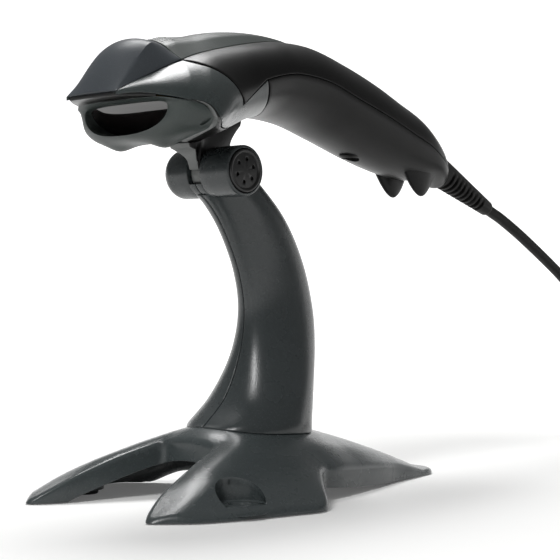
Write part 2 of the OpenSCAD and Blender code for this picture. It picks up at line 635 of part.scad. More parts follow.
// Oscillating mirror on an upright post
mirror_at = [0, -17];
mirror_q = [20.4, 28.8];
mirror_post_r = 1;
mirror_hub_r = 2;
module mirror_post() color(steel) translate(hinge)
  post(mirror_at, chassis_floor + chassis_t, chassis_deck - chassis_t, mirror_post_r);
module scan_mirror() color([0.8, 0.84, 0.88]) translate(hinge + [mirror_at[0], mirror_at[1], 0])
    difference() {
  union() {
    post([0, 0], mirror_q[0], mirror_q[1], mirror_hub_r);
    block([-8, -mirror_hub_r - 0.6, mirror_q[0]], [8, -mirror_hub_r + 0.6, mirror_q[1]]);
  }
  post([0, 0], mirror_q[0] - 1, mirror_q[1] + 1, mirror_post_r + run_gap);
}
module mirror_coil() color(brass) translate(hinge) difference() {
  block([-6, mirror_at[1] + 3.6, chassis_floor + chassis_t], [6, mirror_at[1] + 6.4, 27]);
  translate([0, 0, 23.4]) rotate([90, 0, 0]) translate([0, 0, -mirror_at[1] - 20])
    cylinder(r = 2.2, h = 30, $fn = 32);
}
module photodiode() color(ink) translate(hinge)
  block([-11, -33, chassis_floor + chassis_t], [-4.5, -30, 26.6]);

// Trigger switch on its board above the engine
switch_p = -13;
switch_size = 6;
switch_q = chassis_deck + board_t;
switch_h = 3.6;
plunger_r = 1.7;
plunger_top = 41;
plunger_foot = switch_q + 1.4;
module switch_board() color(board_green) translate(hinge)
  block([-10, deck_p[0] + 1, chassis_deck], [10, chassis_p[1], chassis_deck + board_t]);
module trigger_switch() color(ink) translate(hinge) difference() {
  block([-switch_size / 2, switch_p - switch_size / 2, switch_q],
    [switch_size / 2, switch_p + switch_size / 2, switch_q + switch_h]);
  post([0, switch_p], plunger_foot - 1.2, switch_q + switch_h + 1, plunger_r + run_gap);
}
plunger_travel = 1.2;
module switch_plunger() color([0.75, 0.73, 0.68]) translate(hinge)
  post([0, switch_p], plunger_foot + plunger_travel - 1.2, plunger_top, plunger_r);

// Trigger leaf with its pusher and pivot lug
leaf_t = 1.8;
leaf_skirt = 2;
leaf_ridge = 0.62;
leaf_drop = 0.36;
leaf_across = [-1, -1, -leaf_ridge, -leaf_ridge / 2, 0, leaf_ridge / 2, leaf_ridge, 1, 1];
function leaf_point(p, k, inside) =
  let (half = seam_x(p) - seam_gap, low = skin(p, skin_angle(p, seam_x(p)))[2] + 0.2, top = hinge[2]
      + smooth_row(leaf_crown, p)[1])
  let (u = leaf_across[k], ridge = mix(top, low, leaf_drop), flat = abs(u) / leaf_ridge)
  let (z = abs(u) < 1 ? mix(top, ridge, flat * flat)
      : (k == 0 || k == len(leaf_across) - 1 ? low - leaf_skirt : low))
  let (shrink = inside ? max(1 - leaf_t / half, 0.4) : 1, floor_z = low - leaf_skirt)
  [u * half * shrink, hinge[1] + p,
    !inside ? z : abs(u) < 1 ? max(z - leaf_t, floor_z) : (k == 0 || k == len(leaf_across) - 1)
        ? floor_z : max(low - leaf_t / 2, floor_z)];
function leaf_net(inside) =
  [for (p = steps(leaf_front, leaf_back, 18))
      [for (k = [0:len(leaf_across) - 1]) leaf_point(p, k, inside)]];
module trigger_button() color(slate) difference() {
  union() {
    wall(leaf_net(true), leaf_net(false));
    translate(hinge) {
      block([-2, switch_p - 1.5, plunger_top + run_gap], [2, switch_p + 1.5, 47.6]);
      block([-lug_half, pivot_at[0] - 2.4, pivot_at[1] - 2.4], [lug_half, pivot_at[0] + 2.4, 51.6]);
    }
  }
  translate(hinge) rod(-ear_to, ear_to, pivot_r + run_gap, pivot_at);
}
module trigger_pin() color(steel) translate(hinge) rod(-ear_to + 0.2, ear_to - 0.2, pivot_r, pivot_at);

// Main board in the handle, lying on four posts of the lower shell
board_from = 14;
board_to = 66;
board_q = 33;
board_fall = 0.09;
function board_low(p) = board_q - board_fall * (p - board_from);
board_tilt = atan(board_fall);
board_half = 12.5;
module on_board() {
  translate(hinge + [0, board_from, board_q]) rotate([-board_tilt, 0, 0]) children();
}
module main_board() color(board_green) on_board()
    block([-board_half, 0, 0.02], [board_half, board_to - board_from, board_t]);
module processor() color(ink) on_board() block([-5, 12, board_t], [5, 22, board_t + 1.4]);
module beeper() color(ink) on_board() difference() {
  post([0, 40], board_t, board_t + 5, 6);
  post([0, 40], board_t + 4, board_t + 6, 1.2);
}
socket_low = 5.4;
module cable_socket() color([0.85, 0.84, 0.80]) translate(hinge)
    block([-5.8, 108, socket_low], [5.8, 120, socket_low + 8]);

// Strain relief: a tapered ribbed boot on the cord's way out of the tail
boot_start = [129.4, 9.4];
boot_fall = 23;
boot_length = 44;
boot_neck = 3.4;
boot_root_r = 6.4;
boot_tip_r = cord_d / 2 + 0.85;
boot_ribs = 9;
boot_plain = 9;
boot_groove = 0.9;
boot_flange_r = 4.6;
boot_flange_t = 1.2;
boot_neck_r = 3.4;
boot_gap = 0.12;
module boot_axis() {
  translate(hinge + [0, boot_start[0], boot_start[1]]) rotate([-90 - boot_fall, 0, 0]) children();
}
// Room for the boot in the tail's two shells
module boot_room() boot_axis() {
  translate([0, 0, -boot_gap]) cylinder(r = boot_flange_r + boot_gap, h = boot_flange_t + 2 * boot_gap,
      $fn = 48);
  cylinder(r = boot_neck_r + boot_gap, h = boot_neck + 2, $fn = 48);
  translate([0, 0, boot_neck + 1 - boot_gap]) cylinder(r = boot_root_r + boot_gap, h = 12, $fn = 48);
}
function boot_r(s) = mix(boot_root_r, boot_tip_r, (s - boot_neck - 1) / (boot_length - boot_neck - 1));
boot_pitch = (boot_length - boot_plain - 6) / boot_ribs;
module strain_relief() color(ink) boot_axis()
  rotate_extrude($fn = 48) polygon(concat(
    [[0, 0], [boot_flange_r, 0], [boot_flange_r, boot_flange_t], [boot_neck_r, boot_flange_t],
      [boot_neck_r, boot_neck + 1], [boot_r(boot_neck + 1), boot_neck + 1]],
    [for (k = [0:boot_ribs - 1]) for (e = [[0, 0], [0.15, -1], [0.45, -1], [0.6, 0]])
      let (s = boot_plain + (k + e[0]) * boot_pitch) [boot_r(s) + e[1] * boot_groove, s]],
    [[boot_tip_r, boot_length - 0.8], [boot_tip_r - 0.6, boot_length], [0, boot_length]]));
boot_dir = [0, cos(boot_fall), -sin(boot_fall)];
boot_end = hinge + [0, boot_start[0], boot_start[1]] + boot_length * boot_dir;

// Cradle: a saddle under the head, carried by a tongue in the hinge
// The saddle lies in the head's recess, flush with the skin
saddle_rows = [for (row = throat_rows) if (row[3][0] > 0.2) row];
saddle_edge = 1;
function saddle_net(rows, under) =
  [for (row = rows) let (ends = [row[0], row[1] - saddle_edge * [1, -2 * sign(row[1][1])]])
    [for (c = steps(0, 1, 7)) let (at = mix(ends[0], ends[1], c))
        skin(at[0], at[1], under ? saddle_wall * row[3][0] : 0)]];
stem_foot = [[-7.6, 1.5], [-9.4, 4.6], [-12.4, 7], [-16.2, 8.4]];
stem_back = [[13.4, 18.6], [10.2, 15.2], [7.8, 11.6], [6.6, 6]];
stem_seat = 0.06;
function stem_top() = [for (p = steps(-16.2, 13.4, 8)) [p, smooth_row(ribs, p)[4] - stem_seat]];
magnet_r = 2;
magnet_t = 2.5;
magnet_p = -2;
magnet_top = 13;
module cradle_saddle() color([0.42, 0.42, 0.41]) {
  rows = mirrored_rows(saddle_rows);
  wall(saddle_net(rows, false), saddle_net(rows, true));
}
module cradle_tongue() color([0.36, 0.36, 0.35]) translate(hinge) difference() {
  union() {
    rod(-tongue_t / 2, tongue_t / 2, hub_r);
    translate([tongue_t / 2, 0, 0]) rotate([90, 0, -90]) mirror([1, 0, 0]) linear_extrude(tongue_t)
      polygon(concat(stem_foot, stem_top(), stem_back));
  }
  rod(-tongue_t, tongue_t, pin_r + run_gap);
  post([0, magnet_p], magnet_top - magnet_t, magnet_top + 4, magnet_r + run_gap);
}
module cradle_magnet() color(steel) translate(hinge)
    post([0, magnet_p], magnet_top - magnet_t, magnet_top - 0.2, magnet_r);

// Cord: its way from the boot to the coil, chosen by hand
cord_r = cord_d / 2;
lead_points = [
  [0, 143, 107.9], [0, 156, 101.8], [0, 169, 95], [0, 181, 88.4], [0, 191, 82.6], [0, 201, 75.8],
      [0, 211, 67.4],
  [0, 219, 58], [0, 225, 48], [0, 230, 37], [0, 235, 26], [0, 241.5, 16.6], [0, 250, 10.8]
];
coil_lift = 0.9;
coil_travel = layer_turns * coil_pitch;
coil_out = coil_mid_r + coil_travel / 2;
coil_in = coil_mid_r - coil_travel / 2;
coil_at = [coil_out, 262];
coil_low = coil_lift + cord_r;
// Place on the coil after some turns: in along the upper layer, a half turn down, out along the lower one
climb = 0.5;
coil_turns = 2 * layer_turns + climb;
function coil_radius(n) =
  n < layer_turns ? coil_out - coil_pitch * n : n < layer_turns + climb ? coil_in : coil_in
      + coil_pitch * (n - layer_turns - climb);
function coil_z(n) =
  coil_low + coil_pitch * (n < layer_turns ? 1 : n < layer_turns + climb
      ? (1 + cos(180 * (n - layer_turns) / climb)) / 2 : 0);
function coil_point(n) =
  let (a = 180 - 360 * n) [coil_at[0] + coil_radius(n) * cos(a), coil_at[1] + coil_radius(n) * sin(a),
      coil_z(n)];
rings_per_turn = 24;
coil_points = [for (k = [0:coil_turns * rings_per_turn]) coil_point(k / rings_per_turn)];
plug_y = 230;
plug_x = coil_at[0] + coil_out;
plug_z = 4.2;
tail_points = [[plug_x, plug_y + 18, coil_low], [plug_x, plug_y + cord_d, plug_z],
    [plug_x, plug_y, plug_z]];

// Tube of some sides along a list of points
module tube(points, r, sides, first = undef, last = undef) {
  n = len(points);
  function unit(v) = v / norm(v);
  function along(i) =
    i == 0 && first != undef ? first : i == n - 1 && last != undef ? last
    : unit(points[min(i + 1, n - 1)] - points[max(i - 1, 0)]);
  net = [for (i = [0:n - 1])
    let (side = unit(cross(along(i), [0, 0, 1])), up = cross(side, along(i)))
    [for (k = [0:sides - 1]) let (a = 360 * (k + 0.5) / sides) points[i]
        + r * (cos(a) * side + sin(a) * up)]];
  faces = concat(
    [for (i = [0:n - 2]) for (k = [0:sides - 1])
      let (a = i * sides + k, b = i * sides + (k + 1) % sides)
      each [[a, b, b + sides], [a, b + sides, a + sides]]],
    [[for (k = [sides - 1:-1:0]) k]], [[for (k = [0:sides - 1]) (n - 1) * sides + k]]);
  polyhedron([for (ring = net) each ring], faces);
}
joint_gap = 0.03;
module cord_lead() color(ink) tube(concat([boot_end + joint_gap * boot_dir], lead_points,
  [coil_points[0] - joint_gap * [0, 1, 0]]), cord_r, 8, boot_dir, [0, 1, 0]);
module cord_coil() color(ink) tube(concat(coil_points, tail_points), cord_r, 6, [0, 1, 0]);
// Least gap of the coil to itself, between points at least half a turn apart
echo(coil_gap = min([for (i = [0:len(coil_points) - 1]) for (j = [i + 12:1:len(coil_points) - 1])
  norm(coil_points[i] - coil_points[j])]) - cord_d);

// Tie round the coil's turns
tie_w = 6;
tie_t = 0.6;
module cord_tie() color(ink) translate([coil_at[0], coil_at[1], 0]) difference() {
  block([-tie_w / 2, -coil_out - cord_r - 1, 0],
      [tie_w / 2, -coil_in + cord_r + 1, coil_low + coil_pitch + cord_r + 1]);
  block([-tie_w, -coil_out - cord_r - 1 + tie_t, tie_t],
    [tie_w, -coil_in + cord_r + 1 - tie_t, coil_low + coil_pitch + cord_r + 1 - tie_t]);
}
// Plug on the cord's end
plug_size = [16, 30, 8];
plug_shell_size = [12, 19, 4.5];
shell_t = 0.4;
module plug_body() color(ink) translate([plug_x, plug_y, plug_z])
  block([-plug_size[0] / 2, -plug_size[1], -plug_size[2] / 2], [plug_size[0] / 2, 0, plug_size[2] / 2]);
module plug_shell() color(steel) translate([plug_x, plug_y - plug_size[1], plug_z]) difference() {
  block([-plug_shell_size[0] / 2, -plug_shell_size[1], -plug_shell_size[2] / 2],
      [plug_shell_size[0] / 2, 0, plug_shell_size[2] / 2]);
  block([-plug_shell_size[0] / 2 + shell_t, -plug_shell_size[1] - 1, 0],
      [plug_shell_size[0] / 2 - shell_t, -2, plug_shell_size[2] / 2 - shell_t]);
}

base_shell();
ballast_plate();
ballast_screws();
rubber_feet();
neck_left_shell();
neck_right_shell();
hinge_screw();
hinge_insert();
friction_washers();
hinge_cap();
cradle_saddle();
cradle_tongue();
cradle_magnet();
hood();
head_housing();
nose_floor();
nose_bezel();
window();
grip_upper();
grip_lower();
case_screw();
tail_feet();
engine_chassis();
laser_module();
mirror_post();
mirror_coil();
photodiode();
switch_board();
trigger_switch();
main_board();
processor();
beeper();
cable_socket();
trigger_pin();
strain_relief();
scan_mirror();
switch_plunger();
trigger_button();
cord_lead();
cord_coil();
cord_tie();
plug_body();
plug_shell();
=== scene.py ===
"""Handheld barcode scanner docked on its presentation stand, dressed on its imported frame."""
import math
from contextlib import contextmanager

import bpy
import numpy as np
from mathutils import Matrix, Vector


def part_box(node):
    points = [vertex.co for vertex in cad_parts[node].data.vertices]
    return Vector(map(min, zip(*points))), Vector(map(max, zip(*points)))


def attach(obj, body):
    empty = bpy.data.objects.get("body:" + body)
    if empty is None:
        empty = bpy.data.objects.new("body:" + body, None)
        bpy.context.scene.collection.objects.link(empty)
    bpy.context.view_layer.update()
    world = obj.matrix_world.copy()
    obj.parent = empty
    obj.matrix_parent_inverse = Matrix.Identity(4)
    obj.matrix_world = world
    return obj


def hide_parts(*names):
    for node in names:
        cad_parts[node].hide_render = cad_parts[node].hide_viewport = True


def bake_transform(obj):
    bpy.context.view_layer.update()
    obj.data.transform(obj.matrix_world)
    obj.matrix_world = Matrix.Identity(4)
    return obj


bl_info = {
    "name": "Barcode scanner on its stand",
    "version": (1, 0, 0),
    "blender": (4, 5, 0),
    "location": "3D View > Sidebar > Scanner",
    "description": "Models a handheld barcode scanner docked on its presentation stand",
    "category": "Add Mesh",
}

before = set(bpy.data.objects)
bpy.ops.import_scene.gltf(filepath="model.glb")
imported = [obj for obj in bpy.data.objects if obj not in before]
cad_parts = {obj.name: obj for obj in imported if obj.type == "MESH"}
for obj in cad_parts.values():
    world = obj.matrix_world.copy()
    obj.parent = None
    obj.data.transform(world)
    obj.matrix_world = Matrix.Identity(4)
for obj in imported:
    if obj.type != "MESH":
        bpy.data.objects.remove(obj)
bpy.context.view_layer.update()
MM = 0.001

# The tilt hinge and the neck's foot, in millimetres
_cap_low, _cap_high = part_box("hinge_cap")
HINGE = np.array([0.0, (_cap_low.y + _cap_high.y) * 500, (_cap_low.z + _cap_high.z) * 500])
NECK_Y = -18.5


def srgb(r, g, b):
    """Linear colour of an sRGB colour written from 0 to 255."""
    return tuple(((c / 255 + 0.055) / 1.055) ** 2.4 if c > 10 else c / 255 / 12.92 for c in (r, g, b))


# Tables of the forms

# Scanner skin: place along Y from the hinge, half width, height of the widest line, top, bottom
RIBS = np.array([
    [-58, 12.6, 24.2, 24.9, 9], [-50, 18.8, 24.3, 29.8, 9], [-42.5, 24.8, 22.9, 33.2, 9],
    [-35, 29.3, 20.6, 37, 9.3], [-28, 32, 16.2, 40.4, 9.6], [-20, 30.6, 19.5, 43, 9.8],
    [-12, 27.4, 24.6, 45, 10.6], [-4, 25.3, 28.6, 46.7, 13.2], [5, 24, 32.4, 48.3, 17.2],
    [15, 23, 35.2, 49.8, 20.8], [25, 22.2, 36.7, 51, 21.8], [43, 21, 35.4, 51.3, 19.9],
    [62, 20, 30.2, 47.2, 14.6], [80, 19, 25.2, 41.7, 8.9], [95, 18, 20.4, 35.9, 5],
    [110, 16.8, 15.5, 29.9, 2.5], [120, 14.8, 10.8, 23.2, 2.4], [127, 11.5, 7.8, 17.6, 1.2],
    [132.5, 7.2, 6.2, 12.7, -0.2]])
TAIL_P = 132.5
SEAM_GAP = 0.4
DOCK_GAP = 0.45
# Crest between the hood and the cheeks, from the lip to the hood's back corner
CREST_FRONT = np.array([13.4, -57, 24.2])
CREST_BACK = np.array([15.2, -28.8, 37.6])
# Throat rows: front end, end of the saddle's recess and back end as place and angle, recess share, bow
THROAT = np.array([
    [-36.6, 88.6, -35.9, 86.8, -22.8, 46, 0, 0], [-30.9, 83.6, -30.4, 81.2, -17.1, 64, 0.4, 0],
    [-28.3, 91, -26.9, 87, -11.1, 88, 0.8, 0], [-27.5, 107, -24.8, 99.5, -7.9, 107.8, 1, 7],
    [-27, 124, -21.8, 113, 5.6, 90.8, 1, 12], [-26.4, 143, -17, 127, 8, 112, 1, 6],
    [-22.9, 161, -7, 143, 12.4, 138, 1, 2], [-19.6, 171, 5.5, 161, 16.8, 160, 1, 0],
    [-17.4, 180, 12, 180, 18.4, 180, 1, 0]])
# Trigger: its opening's half width, its crown, its front, and its raised dots
SEAM_PLAN = np.array([
    [-28.8, 15.2], [-14, 13], [0, 11], [14, 8.6], [28, 5.2], [38, 2.2], [43, 0.5]])
LEAF_CROWN = np.array([
    [-30, 46.6], [-16, 48.3], [-9, 50], [-2, 51.4], [6, 52.5], [14, 53.18], [24, 53.36], [34, 52.8], [43, 51.6]])
LEAF_HALF, LEAF_BEND, LEAF_RIDGE, LEAF_END = 14.8, 9.4, 0.62, 42.2
LEAF_FRONT = (-31.9, -30.5, -28.3)
LEAF_WALL, LEAF_EDGE = 0.0011, 0.0003
DOT_PITCH, DOT_RISE = 1.2, 0.3
# Upper grip: inner place on the trigger's opening, outer place and angle, bow
UPPER = np.array([
    [-28.2, -7.2, 106, 2.2], [-18, 5.2, 89.2, 0], [-5, 32, 89.6, 0], [12, 66, 89.6, 0], [25, 96, 89.6, 0],
    [34, 118, 89.6, 0], [40, 132.5, 89.6, 0], [42, 132.5, 50, 0], [43.2, 132.5, 0, 0]])
# Lower grip: angle and place of its front edge, and the place of its case screw
LOWER_START = np.array([[90, 6.2], [112, 8.6], [138, 12.6], [160, 17.1], [180, 18.6]])
CASE_SCREW = HINGE + [0, 77.6, 0]
CASE_SCREW_R = 3.6
# Hood: share, centre place and height, ridge half width, place and height
HOOD = np.array([
    [0, -58.4, 24.3, 12.9, -57, 24.25], [0.2, -55.4, 31, 12.6, -52.6, 28.8], [0.42, -51, 37.8, 12.4, -48, 34.4],
    [0.62, -46.2, 42.2, 12, -43.4, 39.6], [0.8, -40.4, 44.9, 11, -38.8, 42.6], [1, -32.4, 45.3, 9.4, -31, 42]])
HOOD_RIDGE = 0.72
# Nose bezel: angle round the mouth, bulge and rim
BEZEL = np.array([
    [-90, 0, -41.8, 6.6, 0, -18.8, 10], [-72, 7, -41.4, 6.4, 7, -22, 9.9], [-54, 14, -41, 6.6, 14, -26.2, 10.1],
    [-36, 20.5, -40.4, 8, 22, -28.4, 10.9], [-18, 26, -40.6, 12, 29, -28.5, 12.8],
    [0, 27.8, -41, 17, 31.4, -28.9, 16.4], [18, 27.6, -42.2, 20.2, 30.4, -32.6, 20.2],
    [36, 25.6, -44, 21.8, 26.5, -40.2, 21.9], [54, 18.5, -46, 22.6, 20, -45.4, 22.7],
    [72, 9.5, -46.8, 22.9, 10, -46.4, 22.8], [90, 0, -47, 23, 0, -46.6, 22.9]])
MOUTH_HALF, MOUTH_UP, MOUTH_DOWN, MOUTH_BOW = 22, 2.7, 8.6, 2.4
MOUTH_MIDDLE = (-43.8, 19.4)
# Window and lip floor: place, lean, lap and thickness; the small slot in the jaw's side: place and half size
WINDOW_P, WINDOW_LEAN, WINDOW_LAP, WINDOW_THICK = -38.0, 35, 0.65, 1.5
LIP_FLOOR, LIP_THICK = 22.7, 1.4
JAW_SLOT_AT, JAW_SLOT_HALF = (29.9, -67.5, 134), (2.2, 0.75, 1.0)
# Neck: place along it, front y and z, back y and z, half width, from its foot
NECK = np.array([
    [0, -22.6, 25.7, 26.3, 25.7, 22.1], [1, -11, 36.5, 28.5, 38, 18.8], [2, -3.5, 52, 32.8, 54, 13.6],
    [3, -1.1, 68, 33.4, 69, 10.4], [4, -4, 83, 28.4, 87, 9.2], [5, -11, 97.5, 18.6, 103.2, 9],
    [6, -18.5, 107.3, 4.5, 116.4, 9], [7, -26, 113, -10, 127, 8.6]])
NECK_TOP = 6.6
# Cradle: width and columns of the saddle's pale rim, whose pale colour is a painted highlight, half thickness and hub
# of the tongue
RIM_WIDTH, RIM_STEPS = 3.2, 5
TONGUE_HALF, TONGUE_HUB = 2.6, 7.75
# Base: half outline from the front gap to the back leg, from the neck's foot
BASE_PLAN = [
    (0, -29.5), (7, -29.5), (13.5, -29.5), (15.5, -34), (21.5, -53), (27, -70), (32.4, -77.5), (39, -72),
    (44.8, -65.5), (48.5, -57), (51, -48.2), (54.3, -33), (56.4, -16.6), (47, -7), (41, -1.5), (38.5, 3),
    (38, 8), (37, 14), (33, 29), (28, 47), (23.4, 62), (20, 78), (16, 92), (9, 97), (0, 98)]
BASE_MIDDLE = np.array([0.0, 15.0])
BASE_HALF, BASE_EDGE, DOME_TOP, BACK_FOOT = 56.3, 1.5, 28, (0, 78)
SCREW_AT, POCKET_AT, POCKET_R, POCKET_FLOOR = (41.8, -44), (43.4, -45.4), 8.7, 4.4
CROWN, CROWN_REACH = 2.8, 10.0
# Hinge barrel, and the cap's holes
BARREL_R, BARREL_HALF, SLOT_HALF, SLOT_R, PIN_R = 9.3, 18.0, 3.3, 8.2, 2.55
CAP_HOLES, CAP_HOLE_R, CAP_RING_R = 6, 0.7, 4.2
# Strain relief: start and fall from the hinge, and its size
BOOT_START, BOOT_FALL, BOOT_LENGTH, BOOT_GROOVES = (129.4, 9.4), math.radians(23), 44.0, 9
BOOT_DIR = np.array([0, math.cos(BOOT_FALL), -math.sin(BOOT_FALL)])
BOOT_END = HINGE + [0, BOOT_START[0], BOOT_START[1]] + BOOT_LENGTH * BOOT_DIR
# Cord: lead to the table and where it splits, coil, steps along both, tie, and plug
LEAD = np.array([
    [0, 143, 107.9], [0, 156, 101.8], [0, 169, 95], [0, 181, 88.4], [0, 191, 82.6], [0, 201, 75.8],
    [0, 211, 67.4], [0, 219, 58], [0, 225, 48], [0, 230, 37], [0, 235, 26], [0, 241.5, 16.6], [0, 250, 10.8]])
LEAD_SPLIT = 0.31
COIL_OUT, COIL_IN, COIL_PITCH, LAYER_TURNS, CLIMB = 37.3, 18.4, 5.4, 3.5, 0.5
COIL_AT, COIL_LOW = (37.65, 262.0), 3.3
CORD_STEP, COIL_STEPS = 2.0, 48
TIE_HALF, TIE_CORNER = 2.9, 3.0
PLUG = np.array([75.3, 230.0, 4.2])
PLUG_SIZE, PLUG_GROOVE, PLUG_GROOVES, GROOVE_PITCH = (16, 30, 8), (2.4, 1.4, 12), 4, 3.2
# Camera: place, and turn about the vertical in degrees; floor: half width, front, start and radius of its bend
CAMERA_AT, CAMERA_TURN = (0.4152, -0.4299, 0.08), 44
FLOOR_HALF, FLOOR_FRONT, FLOOR_BACK, FLOOR_BEND = 4000, -5000, 1500, 300


# Curves


def mix(a, b, t):
    return a * (1 - t) + b * t


def smoothstep(a, b, v):
    t = min(max((v - a) / (b - a), 0), 1)
    return t * t * (3 - 2 * t)


def smooth_row(rows, v):
    """Smooth row of a table at the value v of its first column."""
    i = min(max(int(np.searchsorted(rows[:, 0], v, side="right")) - 1, 0), len(rows) - 2)
    a, b = rows[i], rows[i + 1]
    h = b[0] - a[0]
    f = (v - a[0]) / h
    before, after = rows[max(i - 1, 0)], rows[min(i + 2, len(rows) - 1)]
    slope_a = (b - before) / (b[0] - before[0])
    slope_b = (after - a) / (after[0] - a[0])
    return (a * (1 + 2 * f) * (1 - f) ** 2 + slope_a * h * f * (1 - f) ** 2
            + b * f * f * (3 - 2 * f) + slope_b * h * f * f * (f - 1))


def numbered(rows):
    """Table with the row numbers as its first column."""
    rows = np.asarray(rows, float)
    return np.column_stack([np.arange(len(rows)), rows])


def sin_d(a):
    return math.sin(math.radians(a))


def cos_d(a):
    return math.cos(math.radians(a))


def power(v, e):
    return math.copysign(abs(v) ** e, v)


def skin(p, a, inset=0.0):
    """Point of the scanner's skin at p, a degrees round from the top."""
    _, w, mid, top, bottom = smooth_row(RIBS, p)
    c = cos_d(a)
    reach = (top - mid if c > 0 else mid - bottom) - inset
    return HINGE + [(w - inset) * sin_d(a), p, mid + reach * c]


def skin_angle(p, x):
    """Degrees round from the top where the skin is x out from the middle."""
    return math.degrees(math.asin(min(x / smooth_row(RIBS, p)[1], 1)))


def seam_x(p):
    """Half width of the trigger's opening."""
    return smooth_row(SEAM_PLAN, p)[1]


def scanner_core(at):
    """Point inside the scanner beside a point of its shells, in metres."""
    p = min(max(at[1] / MM - HINGE[1], -45), 130)
    return Vector((0, (p + HINGE[1]) * MM, (HINGE[2] + smooth_row(RIBS, p)[2]) * MM))


def dome(x, y):
    """Height of the base at a point from the neck's foot."""
    reach = math.hypot(x / (58 - 0.13 * max(y, 0)), y / (99 if y < 0 else 92))
    edge = 2.6 - 1.2 * smoothstep(58, 78, -y)
    rise = DOME_TOP - (DOME_TOP - edge) * min(reach, 1) ** (1.7 if y < 0 else 1.7 - 0.35 * smoothstep(0, 30, y))
    toe = 41.6 - 0.156 * abs(x) + 0.456 * y
    return mix(rise, toe, 0.85 * smoothstep(40, 66, -y) * (1 - smoothstep(32, 46, abs(x))))


# Modelling helpers


def only(piece):
    bpy.ops.object.select_all(action="DESELECT")
    piece.select_set(True)
    bpy.context.view_layer.objects.active = piece


@contextmanager
def editing(piece, mode="VERT"):
    """Edit mode on one piece, with all of it selected."""
    only(piece)
    bpy.ops.object.mode_set(mode="EDIT")
    bpy.ops.mesh.select_mode(type=mode)
    bpy.ops.mesh.select_all(action="SELECT")
    yield
    bpy.ops.object.mode_set(mode="OBJECT")


def modify(piece, kind, **values):
    """Add a modifier and apply it."""
    only(piece)
    modifier = piece.modifiers.new(kind.title(), kind)
    for key, value in values.items():
        setattr(modifier, key, value)
    bpy.ops.object.modifier_apply(modifier=modifier.name)


def named(name):
    piece = bpy.context.object
    piece.name = piece.data.name = name
    return piece


def primitive(kind, **values):
    """Add a primitive mesh by itself."""
    bpy.ops.object.select_all(action="DESELECT")
    getattr(bpy.ops.mesh, f"primitive_{kind}_add")(**values)
    return bpy.context.object


def block(at, size):
    """Add a box about a point, both in millimetres."""
    return primitive("cube", size=1, location=np.array(at, float) * MM, scale=np.array(size, float) * MM)


def named_block(name, at, size):
    """Box as a piece of its own, with its place and size in its mesh."""
    block(at, size)
    piece = named(name)
    bpy.ops.object.transform_apply(location=True, rotation=True, scale=True)
    return piece


def pin(at, radius, long, around):
    """Add a cylinder along X about a point, in millimetres."""
    return primitive("cylinder", vertices=around, radius=radius * MM, depth=long * MM,
                     rotation=(0, math.pi / 2, 0), location=Vector(at) * MM)


def slab(name, outline, way):
    """Plate of an outline of points, drawn out along a way, in millimetres."""
    primitive("circle", vertices=len(outline), radius=1, fill_type="NGON")
    piece = named(name)
    for v, at in zip(piece.data.vertices, outline):
        v.co = Vector(at) * MM
    with editing(piece, "FACE"):
        bpy.ops.mesh.extrude_region_move(TRANSFORM_OT_translate={"value": tuple(Vector(way) * MM)})
        bpy.ops.mesh.select_all(action="SELECT")
        bpy.ops.mesh.normals_make_consistent(inside=False)
    return piece


def slice_across(places):
    """Cut edges across the piece being edited, at places along Y in millimetres."""
    for y in places:
        bpy.ops.mesh.select_all(action="SELECT")
        bpy.ops.mesh.bisect(plane_co=(0, y * MM, 0), plane_no=(0, 1, 0))


def lay(name, net, closed=False):
    """Add a grid and lay its vertices on a net of points in millimetres."""
    net = np.asarray(net, float)
    if closed:
        net = np.concatenate([net, net[:, :1]], axis=1)
    primitive("grid", x_subdivisions=net.shape[1] - 1, y_subdivisions=net.shape[0] - 1, size=1)
    piece = named(name)
    piece.data.vertices.foreach_set("co", (net * MM).ravel())
    piece.data.update()
    if closed:
        with editing(piece):
            bpy.ops.mesh.remove_doubles(threshold=1e-6)
    return piece


def face_away(piece, inside):
    """Turn an open shell's faces away from the points inside it."""
    turn = sum(f.normal.dot(f.center - inside(f.center)) * f.area for f in piece.data.polygons)
    if turn < 0:
        with editing(piece, "FACE"):
            bpy.ops.mesh.flip_normals()


def close_up(piece):
    """Merge doubles, fill the holes and turn the faces outwards."""
    with editing(piece):
        bpy.ops.mesh.remove_doubles(threshold=1e-6)
        bpy.ops.mesh.select_all(action="SELECT")
        bpy.ops.mesh.fill_holes(sides=0)
        bpy.ops.mesh.select_all(action="SELECT")
        bpy.ops.mesh.normals_make_consistent(inside=False)


def thicken(piece, wall, **values):
    modify(piece, "SOLIDIFY", thickness=wall, offset=-1, use_quality_normals=True, **values)


def shade(piece, angle=38):
    """Shade a piece smooth, but for its sharp edges."""
    only(piece)
    bpy.ops.object.shade_smooth_by_angle(angle=math.radians(angle))


def round_off(piece, width, angle=55, segments=3, smooth=38):
    """Round the sharp edges and shade the rest smooth."""
    modify(piece, "BEVEL", width=width, segments=segments, limit_method="ANGLE",
           angle_limit=math.radians(angle), use_clamp_overlap=False, loop_slide=False)
    shade(piece, smooth)


def thin_shell(name, net, wall, inside=scanner_core, closed=False):
    """Shell with its wall inwards from a net."""
    piece = lay(name, net, closed)
    face_away(piece, inside)
    thicken(piece, wall)
    return piece


def shell(name, net, wall, rounding, inside=scanner_core, smooth=38):
    """Shell with rounded edges."""
    piece = thin_shell(name, net, wall, inside)
    round_off(piece, rounding, smooth=smooth)
    return piece


def rings(name, net):
    """Closed shape over a net of rings."""
    piece = lay(name, net, closed=True)
    close_up(piece)
    return piece


def full_turn(count):
    """Even angles round a ring."""
    return np.linspace(0, 2 * math.pi, count, endpoint=False)


def mirrored(half):
    """Closed outline of a half that starts and ends on the middle line."""
    return half + [(-x, y) for x, y in half[-2:0:-1]]


